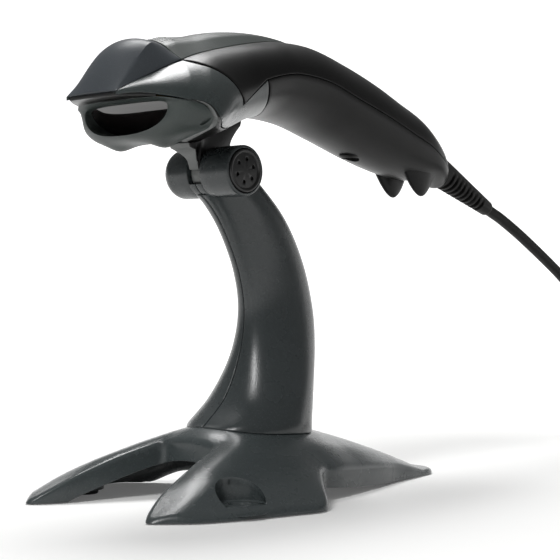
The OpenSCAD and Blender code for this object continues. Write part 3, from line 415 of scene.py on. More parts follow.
def turned(name, profile, centre, axis="X", around=64, loop=True):
    """Closed shape turned from a profile of points along the axis and out from it."""
    profile = list(profile) + (list(profile[:1]) if loop else [])
    net = []
    for along, out in profile:
        ring = [(out * math.cos(a), out * math.sin(a)) for a in full_turn(around)]
        net.append([np.array(centre) + ([along, c, s] if axis == "X" else [c, s, along]) for c, s in ring])
    return rings(name, net)


def joined(*pieces):
    """One object of several, with the first one's name."""
    only(pieces[0])
    for piece in pieces[1:]:
        piece.select_set(True)
    bpy.ops.object.join()
    return pieces[0]


def walled(name, outer, inner):
    """Closed wall between two nets, bridged round its border."""
    piece = joined(lay(name, outer), lay(name + "_under", inner))
    with editing(piece, "EDGE"):
        bpy.ops.mesh.select_all(action="DESELECT")
        bpy.ops.mesh.select_non_manifold(extend=False, use_wire=False, use_boundary=True, use_multi_face=False,
                                         use_non_contiguous=False, use_verts=False)
        bpy.ops.mesh.bridge_edge_loops()
        bpy.ops.mesh.select_all(action="SELECT")
        bpy.ops.mesh.normals_make_consistent(inside=False)
    return piece


def cut(piece, *tools):
    """Take the tools' shapes out of a piece."""
    for tool in tools:
        modify(piece, "BOOLEAN", operation="DIFFERENCE", object=tool, solver="EXACT")
        bpy.data.meshes.remove(tool.data)


def mark_rub(piece):
    """Mark where the edges stand out, for wear."""
    mesh = piece.data
    count = len(mesh.vertices)
    co, no = np.empty(count * 3), np.empty(count * 3)
    mesh.vertices.foreach_get("co", co)
    mesh.vertices.foreach_get("normal", no)
    co, no = co.reshape(-1, 3), no.reshape(-1, 3)
    ends = np.empty(len(mesh.edges) * 2, int)
    mesh.edges.foreach_get("vertices", ends)
    a, b = ends.reshape(-1, 2).T
    way = co[b] - co[a]
    way /= np.maximum(np.linalg.norm(way, axis=1), 1e-9)[:, None]
    rise, number = np.zeros(count), np.zeros(count)
    for start, sign in ((a, -1), (b, 1)):
        np.add.at(rise, start, sign * (way * no[start]).sum(1))
        np.add.at(number, start, 1)
    rub = np.clip((rise / np.maximum(number, 1) - 0.1) / 0.3, 0, 1)
    for _ in range(2):
        spread = np.zeros(count)
        np.add.at(spread, a, rub[b])
        np.add.at(spread, b, rub[a])
        rub = 0.5 * rub + 0.5 * spread / np.maximum(number, 1)
    mesh.attributes.new("rub", "FLOAT", "POINT").data.foreach_set("value", rub)


def dress(piece, body, key, slot, *nodes):
    """Give a finished piece its wear, finish and place in the frame."""
    mark_rub(piece)
    piece.data.materials.clear()
    piece.data.materials.append(finish(key))
    if body:
        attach(piece, body)
    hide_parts(*nodes)
    return piece


# Materials

# Numbers of a mix node's colour sockets
MIX_A, MIX_B, MIX_OUT = 6, 7, 2


def group(name, inputs, outputs):
    """New shader node group with named number sockets, and its input and output nodes."""
    tree = bpy.data.node_groups.new(name, "ShaderNodeTree")
    for way, labels in (("INPUT", inputs), ("OUTPUT", outputs)):
        for label in labels:
            tree.interface.new_socket(label, in_out=way, socket_type="NodeSocketFloat")
    return tree, tree.nodes.new("NodeGroupInput"), tree.nodes.new("NodeGroupOutput")


def feed(tree, node, values):
    """Set a node's inputs by name or number, or link them to the sockets given."""
    for key, value in values.items():
        if isinstance(value, bpy.types.NodeSocket):
            tree.links.new(value, node.inputs[key])
        else:
            node.inputs[key].default_value = value


def add(tree, kind, inputs=None, **values):
    """New node with its properties and its inputs."""
    node = tree.nodes.new("ShaderNode" + kind)
    for key, value in values.items():
        setattr(node, key, value)
    feed(tree, node, inputs or {})
    return node


def math_node(tree, operation, a, b, clamp=False):
    return add(tree, "Math", {0: a, 1: b}, operation=operation, use_clamp=clamp).outputs[0]


def new_material(name):
    """New material with its node tree and its shader."""
    material = bpy.data.materials.new(name)
    material.use_nodes = True
    return material, material.node_tree, material.node_tree.nodes["Principled BSDF"]


def grain_group():
    """Fine moulded grain, as a height, with a slow mottle and sparkling flecks."""
    tree = bpy.data.node_groups.get("moulded grain")
    if tree:
        return tree
    tree, into, out = group("moulded grain", ("Grain Scale", "Mottle Scale"), ("Height", "Mottle", "Fleck"))
    place = add(tree, "TexCoord").outputs["Object"]
    scale, slow_scale = into.outputs["Grain Scale"], into.outputs["Mottle Scale"]
    fine = add(tree, "TexNoise", {"Vector": place, "Scale": scale, "Detail": 3.0, "Roughness": 0.6})
    cells = add(tree, "TexVoronoi", {"Vector": place, "Scale": scale, "Smoothness": 0.4}, feature="SMOOTH_F1")
    flecks = add(tree, "TexVoronoi", {"Vector": place, "Scale": math_node(tree, "MULTIPLY", scale, 1.7)}, feature="F1")
    slow = add(tree, "TexNoise", {"Vector": place, "Scale": slow_scale, "Detail": 4.0, "Roughness": 0.55})
    rough = math_node(tree, "ADD", math_node(tree, "MULTIPLY", fine.outputs["Fac"], 0.6),
                      math_node(tree, "MULTIPLY", cells.outputs["Distance"], 0.55))
    split = add(tree, "SeparateColor", {"Color": flecks.outputs["Color"]})
    fleck = math_node(tree, "MULTIPLY", math_node(tree, "SUBTRACT", split.outputs["Red"], 0.8), 5.0, clamp=True)
    feed(tree, out, {"Height": rough, "Mottle": slow.outputs["Fac"], "Fleck": fleck})
    return tree


def wear_group():
    """Rubbed edges broken up by noise, and dust on what lies level."""
    tree = bpy.data.node_groups.get("edge wear and dust")
    if tree:
        return tree
    tree, into, out = group("edge wear and dust", ("Patch Scale",), ("Rub", "Dust"))
    place = add(tree, "TexCoord")
    patches = add(tree, "TexNoise", {"Vector": place.outputs["Object"], "Scale": into.outputs["Patch Scale"],
                                     "Detail": 5.0, "Roughness": 0.65}).outputs["Fac"]
    rub = add(tree, "Attribute", attribute_name="rub", attribute_type="GEOMETRY")
    broken = math_node(tree, "MULTIPLY", math_node(tree, "SUBTRACT", patches, 0.36), 4.0, clamp=True)
    up = add(tree, "SeparateXYZ", {0: place.outputs["Normal"]})
    level = math_node(tree, "MULTIPLY", math_node(tree, "SUBTRACT", up.outputs["Z"], 0.55), 2.2, clamp=True)
    feed(tree, out, {"Rub": math_node(tree, "MULTIPLY", rub.outputs["Fac"], broken),
                     "Dust": math_node(tree, "MULTIPLY", level, patches)})
    return tree


def shade_mix(tree, fac, a, b):
    """Colour mixed from a to b by a mask; both may be colours or sockets."""
    a, b = ((*value[:3], 1) if isinstance(value, tuple) else value for value in (a, b))
    return add(tree, "Mix", {0: fac, MIX_A: a, MIX_B: b}, data_type="RGBA").outputs[MIX_OUT]


def moulded(name, colour, rough, grain=1800.0, depth=0.12, rub=0.25, fleck=0.0, dust=0.03,
            mottle=0.08, metal=0.0, coat=0.0, specular=0.5, spread=0.09):
    """Moulded or metal finish with grain, mottle, flecks, rubbed edges and dust."""
    if name in bpy.data.materials:
        return bpy.data.materials[name]
    material, tree, shader = new_material(name)
    colour = tuple(colour)
    texture = add(tree, "Group", {"Grain Scale": grain, "Mottle Scale": 56.0}, node_tree=grain_group())
    wear = add(tree, "Group", {"Patch Scale": 140.0}, node_tree=wear_group())
    dark = tuple(c * (1 - mottle) for c in colour)
    light = tuple(min(c * (1 + mottle), 1) for c in colour)
    paint = shade_mix(tree, texture.outputs["Mottle"], dark, light)
    if fleck:
        bright = tuple(min(c * 2.2 + 0.02, 1) for c in colour)
        paint = shade_mix(tree, math_node(tree, "MULTIPLY", texture.outputs["Fleck"], fleck), paint, bright)
    worn = tuple(min(c * 1.7 + 0.03, 1) for c in colour)
    paint = shade_mix(tree, math_node(tree, "MULTIPLY", wear.outputs["Rub"], rub), paint, worn)
    paint = shade_mix(tree, math_node(tree, "MULTIPLY", wear.outputs["Dust"], dust), paint, (0.42, 0.41, 0.39))
    sheen = add(tree, "MapRange", {"Value": texture.outputs["Mottle"], "To Min": rough - spread,
                                   "To Max": rough + spread}).outputs[0]
    sheen = math_node(tree, "SUBTRACT", sheen, math_node(tree, "MULTIPLY", wear.outputs["Rub"], 0.1), clamp=True)
    bump = add(tree, "Bump", {"Strength": depth, "Distance": 0.0004, "Height": texture.outputs["Height"]})
    feed(tree, shader, {
        "Base Color": paint, "Roughness": sheen, "Metallic": metal, "Specular IOR Level": specular,
        "Coat Weight": coat, "Coat Roughness": 0.04 if rough < 0.1 else 0.25, "Normal": bump.outputs["Normal"]})
    return material


# Finishes: name, colour or the setting that holds it, roughness, and the rest of its values
FINISHES = {
    "stand": ("slate stand plastic", "stand", 0.27, dict(fleck=0.2, depth=0.1, rub=0.3, dust=0.02)),
    # The base has the neck's slate plastic, painted lighter as the light falling on its upturned surfaces.
    "base": ("slate base plastic", "base", 0.27, dict(fleck=0.2, depth=0.1, rub=0.05, dust=0.02)),
    "head": ("slate head plastic", "head", 0.3, dict(fleck=0.25, depth=0.16, rub=0.3)),
    "hood": ("satin hood plastic", "hood", 0.4, dict(fleck=0.1, depth=0.08, rub=0.3, specular=0.15)),
    "jaw": ("jaw plastic", "jaw", 0.46, dict(fleck=0.08, depth=0.12, rub=0.25)),
    "button": ("trigger plastic", "button", 0.42, dict(fleck=0.1, depth=0.14, rub=0.35, specular=0.35)),
    # The cradle's pale finish is a painted highlight on its lit front faces.
    "cradle": ("cradle plastic", "cradle", 0.42, dict(fleck=0.05, depth=0.1, rub=0.3)),
    "grip": ("soft black grip", "grip", 0.32, dict(grain=2600.0, depth=0.08, rub=0.12, dust=0.01, specular=0.2)),
    # The black finish is the cap's own black plastic, and also painted shade on the lip floor and the cradle's shaded
    # faces.
    "cap": ("black hinge cap", "grip", 0.34, dict(grain=2200.0, depth=0.08, rub=0.35)),
    "cord": ("cord jacket", "cord", 0.5, dict(grain=2400.0, depth=0.1, rub=0.1, dust=0.01, specular=0.2)),
    "rubber": ("foot rubber", "grip", 0.7, dict(grain=1400.0, depth=0.3, rub=0.15)),
    "steel": ("zinc plated steel", (0.56, 0.57, 0.58), 0.3, dict(grain=900.0, depth=0.06, metal=1.0, rub=0.2)),
    "brass": ("turned brass", (0.62, 0.44, 0.18), 0.28, dict(grain=900.0, depth=0.06, metal=1.0, rub=0.2)),
    "board": ("circuit board", srgb(30, 84, 52), 0.38, dict(grain=500.0, depth=0.2, mottle=0.25, coat=0.3)),
    "pale": ("pale moulded part", srgb(206, 202, 190), 0.5, dict(depth=0.15)),
    "mirror": ("silvered mirror", (0.86, 0.88, 0.9), 0.08, dict(depth=0.01, metal=1.0, rub=0.0, spread=0.03)),
    "window": ("tinted window", srgb(20, 15, 15), 0.05,
               dict(depth=0.004, mottle=0.05, rub=0.0, dust=0.0, coat=1.0, spread=0.02, specular=0.8)),
}


def finish(key):
    """Material of one of the part's finishes."""
    name, paint, rough, values = FINISHES[key]
    if isinstance(paint, str):
        paint = getattr(bpy.context.scene.scanner_colours, paint)
    return moulded(name, paint, rough, **values)


# Settings


def amount(name, description, default, lowest=0, **kind):
    return bpy.props.FloatProperty(name=name, description=description, default=default, min=lowest, **kind)


def length(name, description, default):
    return amount(name, description, default, unit="LENGTH", precision=5)


def colour(name, description, default):
    return bpy.props.FloatVectorProperty(
        name=name, description=description, default=default, subtype="COLOR", size=3, min=0, max=1)


class ScannerSizes(bpy.types.PropertyGroup):
    """Sizes of the walls, edges and cord"""
    shell_wall: length("Shell wall", "Wall of the scanner's shells", 0.002)
    saddle_wall: length("Saddle wall", "Wall of the cradle's saddle", 0.0024)
    neck_wall: length("Neck wall", "Wall of the neck's two shells", 0.0024)
    base_wall: length("Base wall", "Wall of the base", 0.0026)
    skirt: length("Skirt", "Depth of the base's skirt along the gaps", 0.008)
    edge: length("Edge rounding", "Rounding of the shells' edges", 0.0003)
    cord_diameter: length("Cord diameter", "Diameter of the cord", 0.0048)
    groove: length("Groove depth", "Depth of the strain relief's grooves", 0.0012)


class ScannerColours(bpy.types.PropertyGroup):
    """Colours of the finishes"""
    stand: colour("Stand", "Slate plastic of the neck", srgb(48, 53, 54))
    # Lighter than the stand's slate: painted light on the base's upturned surfaces.
    base: colour("Base", "Slate plastic of the base", srgb(60, 66, 67))
    head: colour("Head", "Slate plastic of the cheeks", srgb(48, 54, 54))
    hood: colour("Hood", "Satin plastic of the hood", srgb(66, 70, 74))
    jaw: colour("Jaw", "Plastic of the nose", srgb(46, 53, 51))
    button: colour("Trigger", "Plastic of the trigger", srgb(50, 56, 54))
    # Pale tone of the cradle, raised as a painted highlight on its front rim and the tongue's front.
    cradle: colour("Cradle", "Plastic of the cradle", srgb(102, 104, 103))
    grip: colour("Grip", "Soft black of the handle", srgb(10, 10, 10))
    cord: colour("Cord", "Jacket of the cord", srgb(12, 12, 11))
    floor: colour("Floor", "Pale floor and backdrop", srgb(238, 238, 237))


class StudioSettings(bpy.types.PropertyGroup):
    """Camera and lamps"""
    lens: amount("Lens", "Focal length of the camera", 99.64, lowest=1, unit="CAMERA")
    key: amount("Overhead lamp", "Power of the lamp above", 10.0, unit="POWER")
    side: amount("Front lamp", "Power of the lamp in front", 6.0, unit="POWER")
    sky: amount("Surroundings", "Strength of the light all round", 0.22, subtype="FACTOR")


# Operators


class SCANNER_OT_camera(bpy.types.Operator):
    """Place the camera at the photograph's viewing angle"""
    bl_idname = "scanner.camera"
    bl_label = "Camera"

    def execute(self, context):
        bpy.ops.object.camera_add(location=CAMERA_AT, rotation=(math.pi / 2, 0, math.radians(CAMERA_TURN)))
        camera = context.object
        camera.name = "view camera"
        camera.data.lens = context.scene.scanner_studio.lens
        camera.data.sensor_width = 36
        camera.data.clip_start, camera.data.clip_end = 0.01, 20
        context.scene.camera = camera
        return {"FINISHED"}


def coil_point(n):
    """Place on the coil after some turns: in along the upper layer, down, and out along the lower one."""
    if n < LAYER_TURNS:
        radius, level = COIL_OUT - COIL_PITCH * n, 1.0
    elif n < LAYER_TURNS + CLIMB:
        radius, level = COIL_IN, (1 + math.cos(math.pi * (n - LAYER_TURNS) / CLIMB)) / 2
    else:
        radius, level = COIL_IN + COIL_PITCH * (n - LAYER_TURNS - CLIMB), 0.0
    a = math.pi - 2 * math.pi * n
    return np.array([COIL_AT[0] + radius * math.cos(a), COIL_AT[1] + radius * math.sin(a),
                     COIL_LOW + COIL_PITCH * level])


def by_reach(points):
    """Table of points with the way along them as its first column."""
    return np.column_stack([np.r_[0, np.cumsum(np.linalg.norm(np.diff(points, axis=0), axis=1))], points])


def through(points, gap):
    """Smooth run of points through a list of points, about a gap apart."""
    table = by_reach(np.asarray(points, float))
    reach = table[-1, 0]
    return [smooth_row(table, s)[1:] for s in np.linspace(0, reach, max(int(reach / gap), 2) + 1)]


def tube(name, points, radius, sides=18):
    """Closed tube along a run of points, all in millimetres."""
    points = np.asarray(points, float)
    way = np.gradient(points, axis=0)
    way /= np.linalg.norm(way, axis=1)[:, None]
    net = []
    for at, ahead in zip(points, way):
        side = np.cross(ahead, [0, 0, 1])
        side /= np.linalg.norm(side)
        up = np.cross(side, ahead)
        net.append([at + radius * (math.cos(a) * side + math.sin(a) * up) for a in full_turn(sides)])
    piece = rings(name, net)
    shade(piece, 50)
    return piece


class SCANNER_OT_cord(bpy.types.Operator):
    """Lay the cord from the strain relief to its coil and plug"""
    bl_idname = "scanner.cord"
    bl_label = "Cord"

    def execute(self, context):
        thick = context.scene.scanner_sizes.cord_diameter
        turns = 2 * LAYER_TURNS + CLIMB
        lead = through(np.vstack([BOOT_END - 3 * BOOT_DIR, BOOT_END + 3 * BOOT_DIR, LEAD, coil_point(0)]), CORD_STEP)
        wound = [coil_point(n) for n in np.linspace(0, turns, int(turns * COIL_STEPS) + 1)]
        into_plug = [PLUG + [0, 18, COIL_LOW - PLUG[2]], PLUG + [0, 4.8, 0], PLUG + [0, -6, 0]]
        tail = through([wound[-1], *into_plug], CORD_STEP)
        points = lead[:-1] + wound + tail[1:]
        split = int(len(lead) * LEAD_SPLIT)
        carried = (self.plug(), self.tie(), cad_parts["plug_shell"])
        runs = (("cord_upper_lead", points[:split + 1], "scanner", "cradle", (points[0], points[split]), "object", ()),
                ("cord_lower_lead", points[split:], "cradle", "stand", (points[split], LEAD[-2]), "plug", carried))
        for name, run, before, after, ends, far, on_it in runs:
            piece = tube(name, run, thick / MM / 2)
            node = "cord_lead" if before == "scanner" else "cord_coil"
            dress(piece, None, "cord", "cord_jacket", node)
            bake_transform(piece)
        return {"FINISHED"}

    def plug(self):
        """Plug body with rounded edges, grooved sides and a collar round the cord."""
        body = named_block("plug_moulding", PLUG - [0, PLUG_SIZE[1] / 2, 0], PLUG_SIZE)
        with editing(body, "EDGE"):
            bpy.ops.mesh.bevel(offset=2.2 * MM, segments=5, affect="EDGES")
            slice_across(PLUG[1] + np.arange(-14, -4, 3))
        for v in body.data.vertices:
            back = smoothstep(-12, 0, v.co.y / MM - PLUG[1])
            v.co.x = PLUG[0] * MM + (v.co.x - PLUG[0] * MM) * (1 - 0.34 * back)
            v.co.z = PLUG[2] * MM + (v.co.z - PLUG[2] * MM) * (1 - 0.12 * back)
        cut(body, *(block(PLUG + [side * 8.2, GROOVE_PITCH * k - 24, 0], PLUG_GROOVE)
                    for side in (-1, 1) for k in range(PLUG_GROOVES)))
        profile = [(-4, 0), (-4, 3.5), (0, 3.5), (1.5, 3.4), (2, 2.9), (3.4, 2.9), (3.8, 3.3), (5.4, 3.2),
                   (5.8, 2.8), (7.2, 2.75), (7.6, 3.05), (9, 2.95), (9.6, 2.45), (9.6, 0)]
        collar = turned("plug_collar", profile, (0, 0, 0), axis="Z", around=40, loop=False)
        for v in collar.data.vertices:
            v.co = Vector((PLUG[0] * MM + v.co.x, PLUG[1] * MM + v.co.z, PLUG[2] * MM + v.co.y))
        close_up(collar)
        plug = joined(body, collar)
        round_off(plug, 0.0003)
        return dress(plug, "stand", "cord", "cord_jacket", "plug_body")

    def tie(self):
        """Strap round the coil's turns, with its buckle."""
        low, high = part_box("cord_tie")
        y0, y1, z0, z1 = low.y / MM + 0.3, high.y / MM - 0.3, low.z / MM + 0.3, high.z / MM - 0.3
        corner, loop = TIE_CORNER, []
        for cy, cz, start in ((y1 - corner, z1 - corner, 0), (y0 + corner, z1 - corner, 90),
                              (y0 + corner, z0 + corner, 180), (y1 - corner, z0 + corner, 270)):
            loop += [(cy + corner * cos_d(start + a), cz + corner * sin_d(start + a)) for a in np.linspace(0, 90, 8)]
        net = [[(COIL_AT[0] + x, y, z) for y, z in loop] for x in np.linspace(-TIE_HALF, TIE_HALF, 7)]
        middle_y, middle_z = (y0 + y1) / 2 * MM, (z0 + z1) / 2 * MM
        strap = thin_shell("cord_strap", net, 0.0005, lambda c: Vector((c.x, middle_y, middle_z)), closed=True)
        buckle = named_block("strap_buckle", (COIL_AT[0], y0 + 9, z1 - 0.7), (2 * TIE_HALF, 5.2, 1.8))
        strap = joined(strap, buckle)
        round_off(strap, 0.0002, angle=50)
        return dress(strap, "stand", "rubber", "black_rubber", "cord_tie")


def smooth_loop(points, count):
    """Even run of points on a closed smooth curve through some points."""
    points = np.asarray(points, float)
    table = by_reach(np.vstack([points[-2:], points, points[:3]]))
    return np.array([smooth_row(table, s)[1:] for s in np.linspace(table[2, 0], table[-3, 0], count, endpoint=False)])


class SCANNER_OT_base(bpy.types.Operator):
    """Model the domed base with its legs, skirt and screw pockets"""
    bl_idname = "scanner.base"
    bl_label = "Base and screw pockets"

    def execute(self, context):
        sizes = context.scene.scanner_sizes
        wall, drop = sizes.base_wall / MM, BASE_EDGE
        plan = smooth_loop(mirrored(BASE_PLAN), 360)
        plan[:, 0] *= BASE_HALF / plan[:, 0].max()

        def inset(by):
            ahead = np.roll(plan, -1, axis=0) - np.roll(plan, 1, axis=0)
            line = plan + by * np.column_stack([-ahead[:, 1], ahead[:, 0]]) / np.linalg.norm(ahead, axis=1)[:, None]
            for _ in range(int(by * 4)):
                line = (np.roll(line, 1, axis=0) + 2 * line + np.roll(line, -1, axis=0)) / 4
            return line

        def top(x, y):
            room = math.sqrt(((plan - (x, y)) ** 2).sum(1).min())
            rise = dome(x, y)
            crown = CROWN * min((rise - 2) / 10, 1) * (1 - smoothstep(46, 68, -y))
            return rise - crown * max(1 - room / CROWN_REACH, 0) ** 2

        def ring(line, height):
            return [(x, NECK_Y + y, height(x, y)) for x, y in line]

        def foot(x, y):
            return max(0.4, top(x, y) - sizes.skirt / MM)

        def under(x, y):
            return max(0.42, top(x, y) - wall)

        net = [ring(mix(BASE_MIDDLE, inset(2.2), e), top) for e in 1 - 0.86 * np.linspace(1, 0, 40) ** 1.4]
        for by in (1.8, drop, 1.05, 0.7, 0.4, 0.18, 0.05, 0.0):
            down = drop - math.sqrt(max(drop ** 2 - max(drop - by, 0) ** 2, 0))
            net.append(ring(inset(by), lambda x, y: top(x, y) - min(down, top(x, y) - 0.6)))
        net += [ring(plan, lambda x, y: mix(max(top(x, y) - drop, 0.6), foot(x, y), f)) for f in (0.33, 0.66, 0.96)]
        net += [ring(inset(0.25), foot), ring(inset(wall - 0.25), foot)]
        net += [ring(inset(wall), lambda x, y: mix(foot(x, y), under(x, y), f)) for f in (0.06, 0.5, 0.95)]
        net += [ring(mix(BASE_MIDDLE, inset(wall + 0.4), e), under) for e in np.linspace(1, 0.14, 20)]
        base = rings("stand_base", net + net[:1])
        tools, cups = [], []
        for side in (-1, 1):
            x, y = side * POCKET_AT[0], POCKET_AT[1]
            tools.append(turned("pocket_tool", [(POCKET_FLOOR, 0), (POCKET_FLOOR, POCKET_R), (40, POCKET_R), (40, 0)],
                                (x, NECK_Y + y, 0), axis="Z", around=72, loop=False))
            cups.append(self.cup(side, top))
        cut(base, *tools)
        shade(base)
        dress(base, "stand", "base", "stand_plastic", "base_shell")
        dress(joined(*cups), "stand", "base", "stand_plastic", "base_shell")
        return {"FINISHED"}

    def cup(self, side, top):
        """Wall and floor of one screw pocket, cut off by the dome."""
        deep = POCKET_FLOOR
        profile = [(1.7, 2.2, 0), (1.7, 9.5, 0), (0, 9.5, 1), (0, POCKET_R, 1), (deep + 0.5, POCKET_R, 0),
                   (deep, POCKET_R - 0.5, 0), (deep, 4.2, 0), (2.6, 2.9, 0), (2.5, 2.2, 0), (1.7, 2.2, 0)]
        net = []
        for along, out, high in profile:
            x, y = SCREW_AT if out < 5 else POCKET_AT
            ring = []
            for a in full_turn(72):
                px, py = side * x + out * math.cos(a), y + out * math.sin(a)
                room = top(px, py) - 0.5
                ring.append((px, NECK_Y + py, max(room, 1.0) if high else min(along, max(room, 0.9))))
            net.append(ring)
        cup = rings("counter_pockets", net)
        round_off(cup, 0.0002, angle=50)
        return cup


def neck_point(t, a, side):
    """Point of the neck's skin at t along it, a degrees round from its front."""
    _, fy, fz, by, bz, w = smooth_row(NECK, t)
    front, back = np.array([NECK_Y + fy, fz]), np.array([NECK_Y + by, bz])
    at = (front + back) / 2 + (front - back) / 2 * cos_d(a)
    x = max(w * max(sin_d(a), 0) ** 0.9, SEAM_GAP / 2)
    foot = dome(x, at[0] - NECK_Y) + 0.3
    return (side * x, at[0], foot if t == 0 else max(at[1], foot + t))


class SCANNER_OT_neck(bpy.types.Operator):
    """Model the neck's two shells with their halves of the hinge barrel"""
    bl_idname = "scanner.neck"
    bl_label = "Neck shells and hinge barrel"

    def execute(self, context):
        sizes = context.scene.scanner_sizes
        heights = [(r[2] + r[4]) / 2 * MM for r in NECK]
        middles = [(NECK_Y + (r[1] + r[3]) / 2) * MM for r in NECK]
        for side, name in ((1, "neck_left_shell"), (-1, "neck_right_shell")):
            net = [[neck_point(t, a, side) for a in np.linspace(0, 180, 49)] for t in np.linspace(0, NECK_TOP, 90)]
            half = shell(name.replace("_shell", "_side"), net, sizes.neck_wall, 0.0004,
                         lambda c: Vector((0, float(np.interp(c.z, heights, middles)), c.z)))
            piece = joined(half, self.barrel(side), self.bridge(side))
            shade(piece)
            dress(piece, "stand", "stand", "stand_plastic", name)
        return {"FINISHED"}

    def barrel(self, side):
        """Half of the barrel beside the slot, with a round end."""
        end = 0.9 if side > 0 else 5.0
        arc = [(BARREL_HALF - end + end * sin_d(a), BARREL_R - end + end * cos_d(a)) for a in np.linspace(0, 90, 10)]
        profile = [(SLOT_HALF, PIN_R), (SLOT_HALF, BARREL_R), (8, BARREL_R), (12, BARREL_R)] + arc
        if side > 0:
            profile += [(BARREL_HALF, 8.15), (15.4, 8.15), (15.4, PIN_R)]
        else:
            profile += [(BARREL_HALF, 0.0), (14, 0.0), (14, PIN_R)]
        barrel = turned("barrel", [(side * x, r) for x, r in profile], HINGE, around=96)
        round_off(barrel, 0.0003)
        return barrel

    def bridge(self, side):
        """The barrel's wall below the slot."""
        net = [[HINGE + [side * x, BARREL_R * cos_d(a), BARREL_R * sin_d(a)] for a in np.linspace(209, 380, 60)]
               for x in (SEAM_GAP / 2, 1.7, SLOT_HALF + 0.05)]
        return shell("bridge", net, (BARREL_R - SLOT_R) * MM, 0.0002,
                     lambda c: Vector((c.x, HINGE[1] * MM, HINGE[2] * MM)))


class SCANNER_OT_cap(bpy.types.Operator):
    """Model the hinge's end cap with its rim and six small holes"""
    bl_idname = "scanner.cap"
    bl_label = "Hinge cap"

    def execute(self, context):
        profile = [(15.5, 0), (15.5, 7.95), (17.7, 7.95), (18.15, 7.85), (18.45, 7.55), (18.5, 7.2), (18.4, 6.85),
                   (18.1, 6.6), (17.9, 6.45), (17.9, 6.2), (18.0, 5.6), (18.1, 0)]
        cap = turned("hinge_end_cap", profile, HINGE, around=96, loop=False)
        holes = []
        for k in range(CAP_HOLES):
            a = 360 / CAP_HOLES * k + 20
            at = HINGE + [18.3, CAP_RING_R * cos_d(a), CAP_RING_R * sin_d(a)]
            holes.append(pin(at, CAP_HOLE_R, 2.4, 24))
        cut(cap, *holes)
        round_off(cap, 0.00012, angle=60, segments=2)
        dress(cap, "stand", "cap", "cap_plastic", "hinge_cap")
        return {"FINISHED"}


def head_rows(count=6):
    """Rows of the head from the lip to the throat: front, recess end, back, share and bow."""
    rows = []
    for k in np.linspace(0.006, 1, 30):
        p, front = mix(-56.5, CREST_BACK[1] + 0.3, k), mix(-56.4, -38.0, k)
        x = mix(CREST_FRONT[0], CREST_BACK[0], (p - CREST_FRONT[1]) / (CREST_BACK[1] - CREST_FRONT[1]))
        low = mix(95.0, 89.4, k ** 0.6)
        rows.append(((front, low), (front, low - 1.8), (p, skin_angle(p, x + SEAM_GAP)), 0, 0))
    table = numbered(THROAT)
    notch, fin = table[:4], table[4:]
    for t in np.linspace(0, len(THROAT) - 1, (len(THROAT) - 1) * count + 1):
        r = smooth_row(table, t)[1:]
        if 3 < t < 4:
            back = mix(THROAT[3], THROAT[4], t - 3)
            bow = mix(THROAT[3][7], THROAT[4][7], (t - 3) ** 0.35)
        else:
            back = smooth_row(notch if t <= 3 else fin, t)[1:]
            bow = back[7]
        rows.append(((r[0], r[1]), (r[2], r[3]), (back[4], back[5]), min(max(r[6], 0), 1), bow))
    return rows


def rounded_start(length, radius, last, count):
    """Shares along a row up to the last one, with the drop of its rounded start."""
    radius = min(radius, length / 4)
    start = [(radius * (1 - sin_d(a)) / length, radius * (1 - cos_d(a))) for a in (90, 60, 30, 0)]
    return start + [(c, 0.0) for c in np.linspace(start[-1][0], last, count + 1)[1:]]


def both_sides(rows):
    """Rows of one side and, in reverse, of the other."""
    return [(row, 1) for row in rows] + [(row, -1) for row in rows[-2::-1]]


class SCANNER_OT_housing(bpy.types.Operator):
    """Model the head's housing: cheeks, fins and the recess for the saddle"""
    bl_idname = "scanner.housing"
    bl_label = "Head housing"

    def execute(self, context):
        sizes = context.scene.scanner_sizes
        wall, edge = sizes.shell_wall / MM, sizes.edge / MM
        outer, inner = [], []
        for (front, seat, back, share, bow), side in both_sides(head_rows()):
            depth = DOCK_GAP + sizes.saddle_wall / MM * share if share > 0.02 else 0
            ends = np.array(front), np.array(seat), np.array(back)
            short, long = (np.linalg.norm(skin(*a) - skin(*b)) for a, b in zip(ends, ends[1:]))
            over, under = [], []
            for c, drop in rounded_start(short, edge, 0.97, 3):
                self.add_point(over, under, mix(ends[0], ends[1], c), side, depth + drop, wall)
            for c, drop in reversed(rounded_start(long, edge, 1, 24)):
                c = 1 - c
                at = mix(ends[1], ends[2], c) + [0, bow * 4 * c * (1 - c)]
                self.add_point(over, under, at, side, drop, wall)
            outer.append(over)
            inner.append(under)
        housing = walled("head_cheeks", outer, inner)
        shade(housing)
        dress(housing, "scanner", "head", "head_plastic", "head_housing")
        return {"FINISHED"}

    def add_point(self, over, under, at, side, depth, wall):
        """Add a point of the skin and the one under it, closer where the head is thin."""
        p, a = at
        _, w, mid, top, bottom = smooth_row(RIBS, p)
        thin = 0.7 * min(w, top - mid, mid - bottom)
        over.append(skin(p, side * a, min(depth, thin * 0.6)))
        under.append(skin(p, side * a, min(depth + wall, thin)))


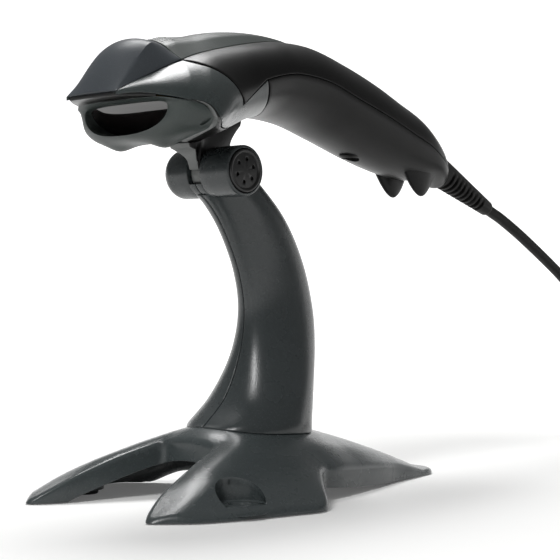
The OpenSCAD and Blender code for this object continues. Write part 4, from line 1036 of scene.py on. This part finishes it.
class SCANNER_OT_cradle(bpy.types.Operator):
    """Model the cradle: its saddle under the head and its tongue in the hinge"""
    bl_idname = "scanner.cradle"
    bl_label = "Cradle saddle and tongue"

    def execute(self, context):
        sizes = context.scene.scanner_sizes
        wall = sizes.saddle_wall / MM
        rows = [row for row in head_rows() if row[3] > 0.12]
        nets = ([], [])
        for (front, seat, _, share, _), side in both_sides(rows):
            front, seat = np.array(front), np.array(seat)
            seat -= np.array([1, -2]) * min(0.6, 0.08 * np.linalg.norm(skin(*front) - skin(*seat)))
            long = np.linalg.norm(skin(*front) - skin(*seat))
            band = min(RIM_WIDTH, 0.6 * long)
            outer, inner = [], []
            for c in np.r_[np.linspace(0, band / long, RIM_STEPS + 1), np.linspace(band / long, 1, 14)[1:]]:
                p, a = mix(front, seat, c)
                chamfer = 0.62 * wall * share * (1 - smoothstep(0, band, c * long))
                outer.append(skin(p, side * a, chamfer))
                inner.append(skin(p, side * a, wall * share))
            nets[0].append(outer)
            nets[1].append(inner)
        saddle = walled("saddle", *nets)
        shade(saddle)
        dress(saddle, "cradle", "cradle", "cradle_plastic", "cradle_saddle")
        # The rim's columns keep the pale cradle finish as a painted highlight on the front edge; the other faces take
        # the black finish as painted shade under the head.
        saddle.data.materials.append(finish("cap"))
        columns = len(nets[0][0]) - 1
        for face in saddle.data.polygons[:columns * (len(nets[0]) - 1)]:
            face.material_index = int(face.index % columns >= RIM_STEPS)
        self.tongue()
        return {"FINISHED"}

    def tongue(self):
        """Blade from the saddle into the barrel's slot, with a round hub."""
        foot = [(-8.6, 0.6), (-9.8, 4.2), (-12.2, 7), (-16.2, 8.6)]
        top = [(p, smooth_row(RIBS, p)[4] - 0.06) for p in np.linspace(-16.2, 13.4, 14)]
        back = [(13.4, 18.6), (10.2, 15.2), (7.8, 11.6), (6.6, 6)]
        hub = [(TONGUE_HUB * cos_d(a), TONGUE_HUB * sin_d(a)) for a in np.linspace(40, -190, 40)]
        outline = through(foot, 0.7)[:-1] + top + through(back, 0.8)[1:] + hub
        tongue = slab("tongue", [HINGE + [-TONGUE_HALF, p, q] for p, q in outline], (2 * TONGUE_HALF, 0, 0))
        cut(tongue, pin(HINGE, PIN_R, 8, 48))
        with editing(tongue, "FACE"):
            slice_across(HINGE[1] + np.linspace(-15.6, -8.4, 10))
        for v in tongue.data.vertices:
            p, q = v.co.y / MM - HINGE[1], v.co.z / MM - HINGE[2]
            v.co.x *= 1 + 1.05 * smoothstep(9.8, 15.5, math.hypot(p, q)) * smoothstep(6, 10, -p)
        round_off(tongue, 0.0004, angle=60)
        dress(tongue, "cradle", "cradle", "cradle_plastic", "cradle_tongue")
        # Faces turned sideways or behind the hinge take the black finish as painted shade; the front faces keep the
        # pale finish as a painted highlight.
        tongue.data.materials.append(finish("cap"))
        for face in tongue.data.polygons:
            face.material_index = int(abs(face.normal.x) > 0.6 or face.center.y > HINGE[1] * MM)


def hood_point(v, u):
    """Point of the hood, v of the way back from the lip and u out to its side."""
    _, cp, cq, rx, rp, rq = smooth_row(HOOD, v)
    s = min(abs(u) / HOOD_RIDGE, 1)
    crown = np.array([math.copysign(s * rx, u), mix(cp, rp, s * s), mix(cq, rq, s * s)])
    edge = mix(CREST_FRONT, CREST_BACK, v)
    out = max(abs(u) - HOOD_RIDGE, 0) / (1 - HOOD_RIDGE)
    return HINGE + mix(crown, np.array([math.copysign(edge[0], u), edge[1], edge[2]]), out)


class SCANNER_OT_hood(bpy.types.Operator):
    """Model the hood over the nose, with its ridges"""
    bl_idname = "scanner.hood"
    bl_label = "Hood"

    def execute(self, context):
        sizes = context.scene.scanner_sizes
        flank = np.linspace(HOOD_RIDGE, 1, 7)[1:]
        across = np.r_[-flank[::-1], np.linspace(-HOOD_RIDGE, HOOD_RIDGE, 33), flank]
        net = [[hood_point(v, u) for u in across] for v in np.linspace(0, 1, 44)]
        hood = thin_shell("nose_hood", net, sizes.shell_wall)
        low = (HINGE[2] + CREST_FRONT[2] - 0.05) * MM
        for v in hood.data.vertices:
            v.co.z = max(v.co.z, low)
        round_off(hood, sizes.edge, angle=50)
        dress(hood, "scanner", "hood", "head_plastic", "hood")
        return {"FINISHED"}


def mouth_edge(a):
    """Point of the mouth's edge from the hinge, a degrees round from its left end."""
    up = sin_d(a) > 0
    x = MOUTH_HALF * power(cos_d(a), 0.5 if up else 0.85)
    rise = MOUTH_UP * abs(sin_d(a)) ** 0.6 if up else -MOUTH_DOWN * abs(sin_d(a)) ** 0.95
    return np.array([x, MOUTH_MIDDLE[0] + MOUTH_BOW * (x / MOUTH_HALF) ** 2, MOUTH_MIDDLE[1] + rise])


def window_front(q):
    """Place of the window's front face at a height."""
    return WINDOW_P - (q - MOUTH_MIDDLE[1]) * math.tan(math.radians(WINDOW_LEAN))


def bezel_point(turn, w):
    """Point of the bowl, some degrees round the mouth and w of the way out to its rim."""
    folded, side = (turn, 1) if turn <= 90 else (180 - turn, -1)
    r = smooth_row(BEZEL, folded)
    bulge, rim = np.array([side * r[1], r[2], r[3]]), np.array([side * r[4], r[5], r[6]])
    at = mouth_edge(turn) * (1 - w) ** 2 + bulge * 2 * w * (1 - w) + rim * w * w
    bump = 2.2 * math.exp(-((abs(at[0]) - 12.2) ** 2 + (at[1] + 33) ** 2) / 26)
    return HINGE + at - [0, 0, bump]


class SCANNER_OT_nose(bpy.types.Operator):
    """Model the nose: the bowl round the mouth, the floor under the lip and the window"""
    bl_idname = "scanner.nose"
    bl_label = "Nose, lip floor and window"

    def execute(self, context):
        self.bezel(context)
        self.floor()
        self.window()
        return {"FINISHED"}

    def bezel(self, context):
        sizes = context.scene.scanner_sizes
        turns = np.linspace(-90, 270, 180, endpoint=False)
        net = []
        for w in (0, 0.25, 0.5, 0.75, 0.93):
            row = []
            for a in turns:
                edge = mouth_edge(a)
                row.append(HINGE + mix(np.array([edge[0], window_front(edge[2]), edge[2]]), edge, w))
            net.append(row)
        for w in 0.012 + 0.988 * np.linspace(0, 1, 28) ** 1.15:
            net.append([bezel_point(a, w) for a in turns])
        bezel = lay("nose_bowl", net, closed=True)
        face_away(bezel, scanner_core)
        border = np.array([HINGE + mouth_edge(a) for a in turns])
        share = bezel.vertex_groups.new(name="wall")
        for v in bezel.data.vertices:
            at = np.array(v.co) / MM
            near = min(0.12 + np.linalg.norm(border - at, axis=1).min() / 5, 1)
            share.add([v.index], near * (1 - 0.85 * smoothstep(20.4, 21.9, at[2] - HINGE[2])), "REPLACE")
        thicken(bezel, 0.8 * sizes.shell_wall, vertex_group="wall")
        bezel.vertex_groups.clear()
        cut(bezel, *(self.slot_tool(side) for side in (-1, 1)))
        shade(bezel)
        dress(bezel, "scanner", "jaw", "bezel_plastic", "nose_bezel")

    def slot_tool(self, side):
        """Rounded bar that cuts the small slot in the bowl's side."""
        across = Vector((side * 0.84, -0.29, -0.45)).normalized()
        along = Vector((side * 0.49, 0.64, 0.59))
        along = (along - along.dot(across) * across).normalized()
        middle = Vector((side * JAW_SLOT_AT[0], *JAW_SLOT_AT[1:]))
        long, thick, deep = JAW_SLOT_HALF
        tool = primitive("uv_sphere", segments=32, ring_count=20, radius=1)
        for v in tool.data.vertices:
            x, y, z = v.co
            v.co = middle * MM + (long * x * along + thick * y * across.cross(along) + deep * z * across) * MM
        close_up(tool)
        return tool

    def floor(self):
        """Flat plate between the lip and the bowl, thinner towards its ends."""
        half = [(0, -57), (11.8, -56.4), (17.4, -50.8), (21.4, -46), (19.6, -44.6), (9.6, -46.4), (0, -46.6)]
        floor = slab("lip_floor", [HINGE + [x, y, LIP_FLOOR] for x, y in mirrored(half)], (0, 0, LIP_THICK))
        for v in floor.data.vertices:
            rise = v.co.z / MM - HINGE[2] - LIP_FLOOR
            v.co.z -= rise * 0.1 * smoothstep(11, 19, abs(v.co.x / MM)) * MM
        round_off(floor, 0.0001, angle=50)
        # The plate takes the black finish as painted shade under the hood's lip.
        dress(floor, "scanner", "cap", "bezel_plastic", "nose_floor")

    def window(self):
        """Pane behind the mouth, with a polished edge."""
        c, s = cos_d(WINDOW_LEAN), sin_d(WINDOW_LEAN)
        rim = []
        for a in np.linspace(0, 360, 96, endpoint=False):
            edge = mouth_edge(a)
            up = (edge[2] - MOUTH_MIDDLE[1]) / c + WINDOW_LAP * sin_d(a)
            x = edge[0] * (1 + WINDOW_LAP / MOUTH_HALF)
            rim.append(HINGE + [x, WINDOW_P + 0.05 - up * s, MOUTH_MIDDLE[1] + up * c])
        pane = slab("window_pane", rim, (0, WINDOW_THICK * c, WINDOW_THICK * s))
        round_off(pane, 0.0002, angle=60)
        dress(pane, "scanner", "window", "window_plastic", "window")


class SCANNER_OT_grip(bpy.types.Operator):
    """Model the handle's upper and lower shells"""
    bl_idname = "scanner.grip"
    bl_label = "Grip shells"

    def execute(self, context):
        sizes = context.scene.scanner_sizes
        self.upper(sizes)
        self.lower(sizes)
        return {"FINISHED"}

    def upper(self, sizes):
        table = numbered(UPPER)
        rows = []
        for t in np.linspace(0, len(UPPER) - 1, (len(UPPER) - 1) * 12 + 1):
            i = min(int(t), len(UPPER) - 2)
            straight = mix(UPPER[i], UPPER[i + 1], t - i)
            inner = min(smooth_row(table, t)[1], 43.2)
            rows.append((inner, straight[1], straight[2], straight[3]))
        net = []
        for (inner, p_out, a_out, bow), side in both_sides(rows):
            start = np.array([inner, skin_angle(inner, max(seam_x(min(inner, 43)), 0.02) if inner < 43.1 else 0)])
            row = []
            for c in np.linspace(0, 1, 34):
                p, a = mix(start, np.array([p_out, a_out]), c) + [bow * 4 * c * (1 - c), 0]
                row.append(skin(p, side * a))
            net.append(row)
        grip = shell("grip_top", net, sizes.shell_wall, sizes.edge)
        dress(grip, "scanner", "grip", "grip_plastic", "grip_upper")

    def lower(self, sizes):
        net = []
        for a in np.linspace(90.4, 269.6, 81):
            start = float(np.interp(min(a, 360 - a), LOWER_START[:, 0], LOWER_START[:, 1]))
            net.append([skin(mix(start, TAIL_P, c), a) for c in np.linspace(0, 1, 90)])
        grip = shell("grip_under", net, sizes.shell_wall, sizes.edge)
        r = CASE_SCREW_R
        bar = [(0, 0), (0, r), (19, r), (19, 0)]
        cut(grip, turned("recess_tool", bar, CASE_SCREW, axis="Z", around=48, loop=False))
        profile = [(9.6, r - 0.02), (18.4, r - 0.02), (19, 3.0), (19, 1.6), (20.4, 1.6), (20.4, 5), (10.6, 5),
                   (10.2, 4.6)]
        grip = joined(grip, turned("recess_sleeve", profile, CASE_SCREW, axis="Z", around=48))
        shade(grip)
        dress(grip, "scanner", "grip", "grip_plastic", "grip_lower")


class SCANNER_OT_trigger(bpy.types.Operator):
    """Model the long trigger leaf on top of the scanner"""
    bl_idname = "scanner.trigger"
    bl_label = "Trigger"

    def execute(self, context):
        ridge = LEAF_RIDGE
        across = np.r_[-1, np.linspace(-1, -ridge, 7), np.linspace(-0.56, 0.56, 85), np.linspace(ridge, 1, 7), 1]
        last = len(across) - 1
        net = []
        for share in np.r_[np.linspace(0, 0.125, 48)[:-1], np.linspace(0.125, 1, 72)]:
            row = []
            for k, u in enumerate(across):
                p = mix(self.front(abs(u) * LEAF_HALF), LEAF_END, share)
                seam = seam_x(max(p, SEAM_PLAN[0, 0]))
                low = skin(p, skin_angle(p, seam))[2] + 0.2
                top = HINGE[2] + smooth_row(LEAF_CROWN, max(p, -30))[1] - 1.1 * smoothstep(25, 32, -p)
                edge = mix(top, low, 0.36)
                if k in (0, last):
                    z = low - 2
                elif abs(u) <= ridge:
                    z = mix(top, edge, (u / ridge) ** 2)
                else:
                    z = mix(edge, low, (abs(u) - ridge) / (1 - ridge))
                row.append((u * (seam - SEAM_GAP), HINGE[1] + p, z))
            net.append(row)
        leaf = shell("trigger_leaf", net, LEAF_WALL, LEAF_EDGE, lambda c: scanner_core(c) + Vector((0, 0, 0.004)),
                     smooth=30)
        for v in leaf.data.vertices:
            if v.normal.z > 0.5:
                v.co.z += self.dot(v.co.x / MM, v.co.y / MM - HINGE[1]) * MM
        dress(leaf, "trigger", "button", "head_plastic", "trigger_button")
        return {"FINISHED"}

    def front(self, x):
        """Place of the leaf's front edge, some way out from its middle."""
        middle, bend, corner = LEAF_FRONT
        if x < LEAF_BEND:
            return mix(middle, bend, (x / LEAF_BEND) ** 2)
        return mix(bend, corner, (x - LEAF_BEND) / (LEAF_HALF - LEAF_BEND))

    def dot(self, x, p):
        """Rise of the raised dots in the patch at the trigger's front."""
        fade = smoothstep(31.2, 30.6, -p) * smoothstep(23.8, 24.4, -p) * smoothstep(7.4, 6.9, abs(x))
        wave = math.sin(math.pi * (p + x) / DOT_PITCH) * math.sin(math.pi * (p - x) / DOT_PITCH)
        return DOT_RISE * fade * max(wave - 0.1, 0)


class SCANNER_OT_small_parts(bpy.types.Operator):
    """Model the tail's feet, the strain relief, the case screw and the rubber feet"""
    bl_idname = "scanner.small_parts"
    bl_label = "Tail feet, strain relief, screw and rubber feet"

    def execute(self, context):
        self.tail_feet()
        self.boot(context)
        self.case_screw()
        self.rubber_feet()
        return {"FINISHED"}

    def tail_feet(self):
        feet = []
        for side in (-1, 1):
            net = []
            for s in np.r_[np.linspace(0, 1, 22) ** 1.6, 1]:
                long, wide = (10 * s ** 0.56, 3.3 * s ** 0.45) if len(net) < 22 else (0, 0)
                middle = HINGE + [side * 7.6, mix(113.4, 112, s), mix(-4.6, 6, s)]
                net.append([middle + [wide * math.sin(a), long * math.cos(a), 0] for a in full_turn(40)])
            feet.append(rings("tail_pads", net))
        pads = joined(*feet)
        round_off(pads, 0.0002)
        dress(pads, "scanner", "grip", "grip_plastic", "tail_feet")

    def boot(self, context):
        """Tapered boot, grooved round its underside."""
        groove = context.scene.scanner_sizes.groove / MM
        neck, root, tip = 4.4, 6.4, 3.25
        pitch = (BOOT_LENGTH - 15) / BOOT_GROOVES
        up = np.array([0, math.sin(BOOT_FALL), math.cos(BOOT_FALL)])
        start = HINGE + [0, BOOT_START[0], BOOT_START[1]]
        profile = [(0.0, 0.0), (0.0, 4.4), (0.3, 4.6), (1.2, 4.6), (1.2, 3.4), (neck, 3.4), (neck, root - 0.4),
                   (neck + 0.4, root)]
        profile += [(s, mix(root, tip, (s - neck) / (BOOT_LENGTH - neck)))
                    for s in np.linspace(neck + 1, BOOT_LENGTH - 0.9, 170)]
        profile += [(BOOT_LENGTH - 0.4, tip - 0.15), (BOOT_LENGTH, tip - 0.6), (BOOT_LENGTH, 0.0)]
        net = []
        for s, r in profile:
            ring = []
            for a in full_turn(56):
                turn = (s - 9) / pitch
                cut_in = smoothstep(0, 0.14, turn % 1) * (1 - smoothstep(0.46, 0.6, turn % 1))
                bite = cut_in if 0 <= turn < BOOT_GROOVES else 0
                depth = bite * groove * smoothstep(-0.25, 0.25, -math.cos(a)) if r > tip - 0.1 else 0
                ring.append(start + s * BOOT_DIR + (r - depth) * (np.array([math.sin(a), 0, 0]) + math.cos(a) * up))
            net.append(ring)
        boot = rings("cord_boot", net)
        shade(boot, 42)
        dress(boot, "scanner", "cord", "black_rubber", "strain_relief")

    def case_screw(self):
        """Countersunk head with a cross slot, up inside its recess."""
        profile = [(17.05, 0), (17.0, 1.4), (17.25, 2.2), (17.8, 2.65), (19, 2.65), (19, 1.25), (33.6, 1.25), (34, 0.9),
                   (34, 0)]
        screw = turned("case_screw_head", profile, CASE_SCREW, axis="Z", around=40, loop=False)
        cut(screw, *(block(CASE_SCREW + [0, 0, 17.2], (*size, 1.6)) for size in ((3.2, 0.7), (0.7, 3.2))))
        round_off(screw, 0.0001, angle=50, segments=2)
        dress(screw, "scanner", "steel", "steel", "case_screw")

    def rubber_feet(self):
        feet = []
        for x, y, hole in ((*SCREW_AT, 3.2), (-SCREW_AT[0], SCREW_AT[1], 3.2), (*BACK_FOOT, 0)):
            profile = [(0, hole), (0, 4.9), (0.15, 5.2), (0.5, 5.35), (1.58, 5.35), (1.58, hole)]
            if not hole:
                profile = [(0.35, 0), (0.35, 3.0), (0, 3.4)] + profile[1:]
            feet.append(turned("rubber_pads", profile, (x, NECK_Y + y, 0), axis="Z", around=48, loop=bool(hole)))
        pads = joined(*feet)
        round_off(pads, 0.0001, angle=60, segments=2)
        dress(pads, "stand", "rubber", "black_rubber", "rubber_feet")


class SCANNER_OT_inner_parts(bpy.types.Operator):
    """Finish the hardware and the parts inside the scanner"""
    bl_idname = "scanner.inner_parts"
    bl_label = "Inner parts"

    def execute(self, context):
        finishes = {
            "steel": ("ballast_plate", "ballast_screws", "hinge_screw", "friction_washers", "cradle_magnet",
                      "mirror_post", "trigger_pin", "plug_shell"),
            "brass": ("hinge_insert", "laser_module", "mirror_coil"),
            "board": ("switch_board", "main_board"),
            "cap": ("engine_chassis", "photodiode", "trigger_switch", "processor", "beeper"),
            "pale": ("cable_socket", "switch_plunger"),
            "mirror": ("scan_mirror",),
        }
        for key, nodes in finishes.items():
            for name in nodes:
                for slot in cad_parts[name].material_slots:
                    slot.material = finish(key)
        return {"FINISHED"}


class SCANNER_OT_stage(bpy.types.Operator):
    """Lay the pale floor and set the studio's light"""
    bl_idname = "scanner.stage"
    bl_label = "Stage"

    def execute(self, context):
        studio = context.scene.scanner_studio
        self.floor(context)
        self.lamp("overhead lamp", studio.key, (0.46, 0.46), (-0.39, 0.28, 1.08), (0, -0.03, 0.08))
        self.lamp("front lamp", studio.side, (0.12, 0.5), (0.25, -0.8, 0.8), (0, 0.0, 0.08))
        self.world(context, studio.sky)
        context.scene.view_settings.view_transform = "Standard"
        return {"FINISHED"}

    def floor(self, context):
        """Pale sheet that lies under the object and turns up behind it, square to the camera."""
        c, s = cos_d(CAMERA_TURN), sin_d(CAMERA_TURN)
        away, across = np.array([-s, c, 0]), np.array([c, s, 0])
        curve = [(d, 0) for d in np.linspace(FLOOR_FRONT, FLOOR_BACK, 66)]
        curve += [(FLOOR_BACK + FLOOR_BEND * sin_d(a), FLOOR_BEND - FLOOR_BEND * cos_d(a))
                  for a in np.linspace(6, 90, 15)]
        curve += [(FLOOR_BACK + FLOOR_BEND, h) for h in (400, 500, 620)]
        wide = np.linspace(-FLOOR_HALF, FLOOR_HALF, 41)
        sheet = lay("pale_sheet", [[d * away + x * across + [0, 0, h] for x in wide] for d, h in curve])
        only(sheet)
        bpy.ops.object.shade_smooth()
        material, tree, shader = new_material("pale sheet")
        where = add(tree, "TexCoord").outputs["Object"]
        speck = add(tree, "TexNoise", {"Vector": where, "Scale": 40.0, "Detail": 3.0})
        pale = tuple(context.scene.scanner_colours.floor)
        dim = tuple(c * 0.985 for c in pale)
        ray = add(tree, "LightPath").outputs
        seen = math_node(tree, "MAXIMUM", ray["Is Camera Ray"],
                         math_node(tree, "MAXIMUM", ray["Is Glossy Ray"], ray["Is Transmission Ray"]))
        reach = add(tree, "VectorMath", {0: where}, operation="LENGTH")
        far = add(tree, "MapRange", {"Value": reach.outputs["Value"], "From Min": 0.2, "From Max": 1.0,
                                     "To Min": 0.1, "To Max": 1.0})
        feed(tree, shader, {
            "Base Color": shade_mix(tree, speck.outputs["Fac"], dim, pale), "Roughness": 0.85,
            "Specular IOR Level": 0.1, "Emission Color": (1, 1, 1, 1),
            "Emission Strength": math_node(tree, "MULTIPLY", seen, far.outputs[0])})
        sheet.data.materials.append(material)

    def lamp(self, name, power, size, place, aim):
        bpy.ops.object.light_add(type="AREA", location=place)
        lamp = bpy.context.object
        lamp.name = name
        lamp.data.energy = power
        lamp.data.shape = "RECTANGLE"
        lamp.data.size, lamp.data.size_y = size
        lamp.rotation_euler = (Vector(aim) - Vector(place)).to_track_quat("-Z", "Y").to_euler()

    def world(self, context, strength):
        world = context.scene.world or bpy.data.worlds.new("studio")
        context.scene.world = world
        world.use_nodes = True
        light = world.node_tree.nodes["Background"]
        light.inputs["Color"].default_value = (1, 1, 1, 1)
        light.inputs["Strength"].default_value = strength


class SCANNER_PT_pieces(bpy.types.Panel):
    """Pieces of the scanner and its stand"""
    bl_label = "Scanner"
    bl_idname = "SCANNER_PT_pieces"
    bl_space_type = "VIEW_3D"
    bl_region_type = "UI"
    bl_category = "Scanner"

    def draw(self, context):
        for operator in OPERATORS:
            self.layout.operator(operator.bl_idname)
        for settings in (context.scene.scanner_sizes, context.scene.scanner_colours, context.scene.scanner_studio):
            column = self.layout.column(align=True)
            for key in settings.__annotations__:
                column.prop(settings, key)


OPERATORS = (
    SCANNER_OT_camera, SCANNER_OT_cord, SCANNER_OT_base, SCANNER_OT_neck, SCANNER_OT_cap, SCANNER_OT_cradle,
    SCANNER_OT_housing, SCANNER_OT_hood, SCANNER_OT_nose, SCANNER_OT_grip, SCANNER_OT_trigger, SCANNER_OT_small_parts,
    SCANNER_OT_inner_parts, SCANNER_OT_stage)
SETTINGS = {"scanner_sizes": ScannerSizes, "scanner_colours": ScannerColours, "scanner_studio": StudioSettings}


def register():
    for cls in (*SETTINGS.values(), *OPERATORS, SCANNER_PT_pieces):
        bpy.utils.register_class(cls)
    for name, cls in SETTINGS.items():
        setattr(bpy.types.Scene, name, bpy.props.PointerProperty(type=cls))


def unregister():
    for name in SETTINGS:
        delattr(bpy.types.Scene, name)
    for cls in reversed((*SETTINGS.values(), *OPERATORS, SCANNER_PT_pieces)):
        bpy.utils.unregister_class(cls)


def main():
    register()
    for operator in OPERATORS:
        space, name = operator.bl_idname.split(".")
        getattr(getattr(bpy.ops, space), name)()


if __name__ == "__main__":
    main()
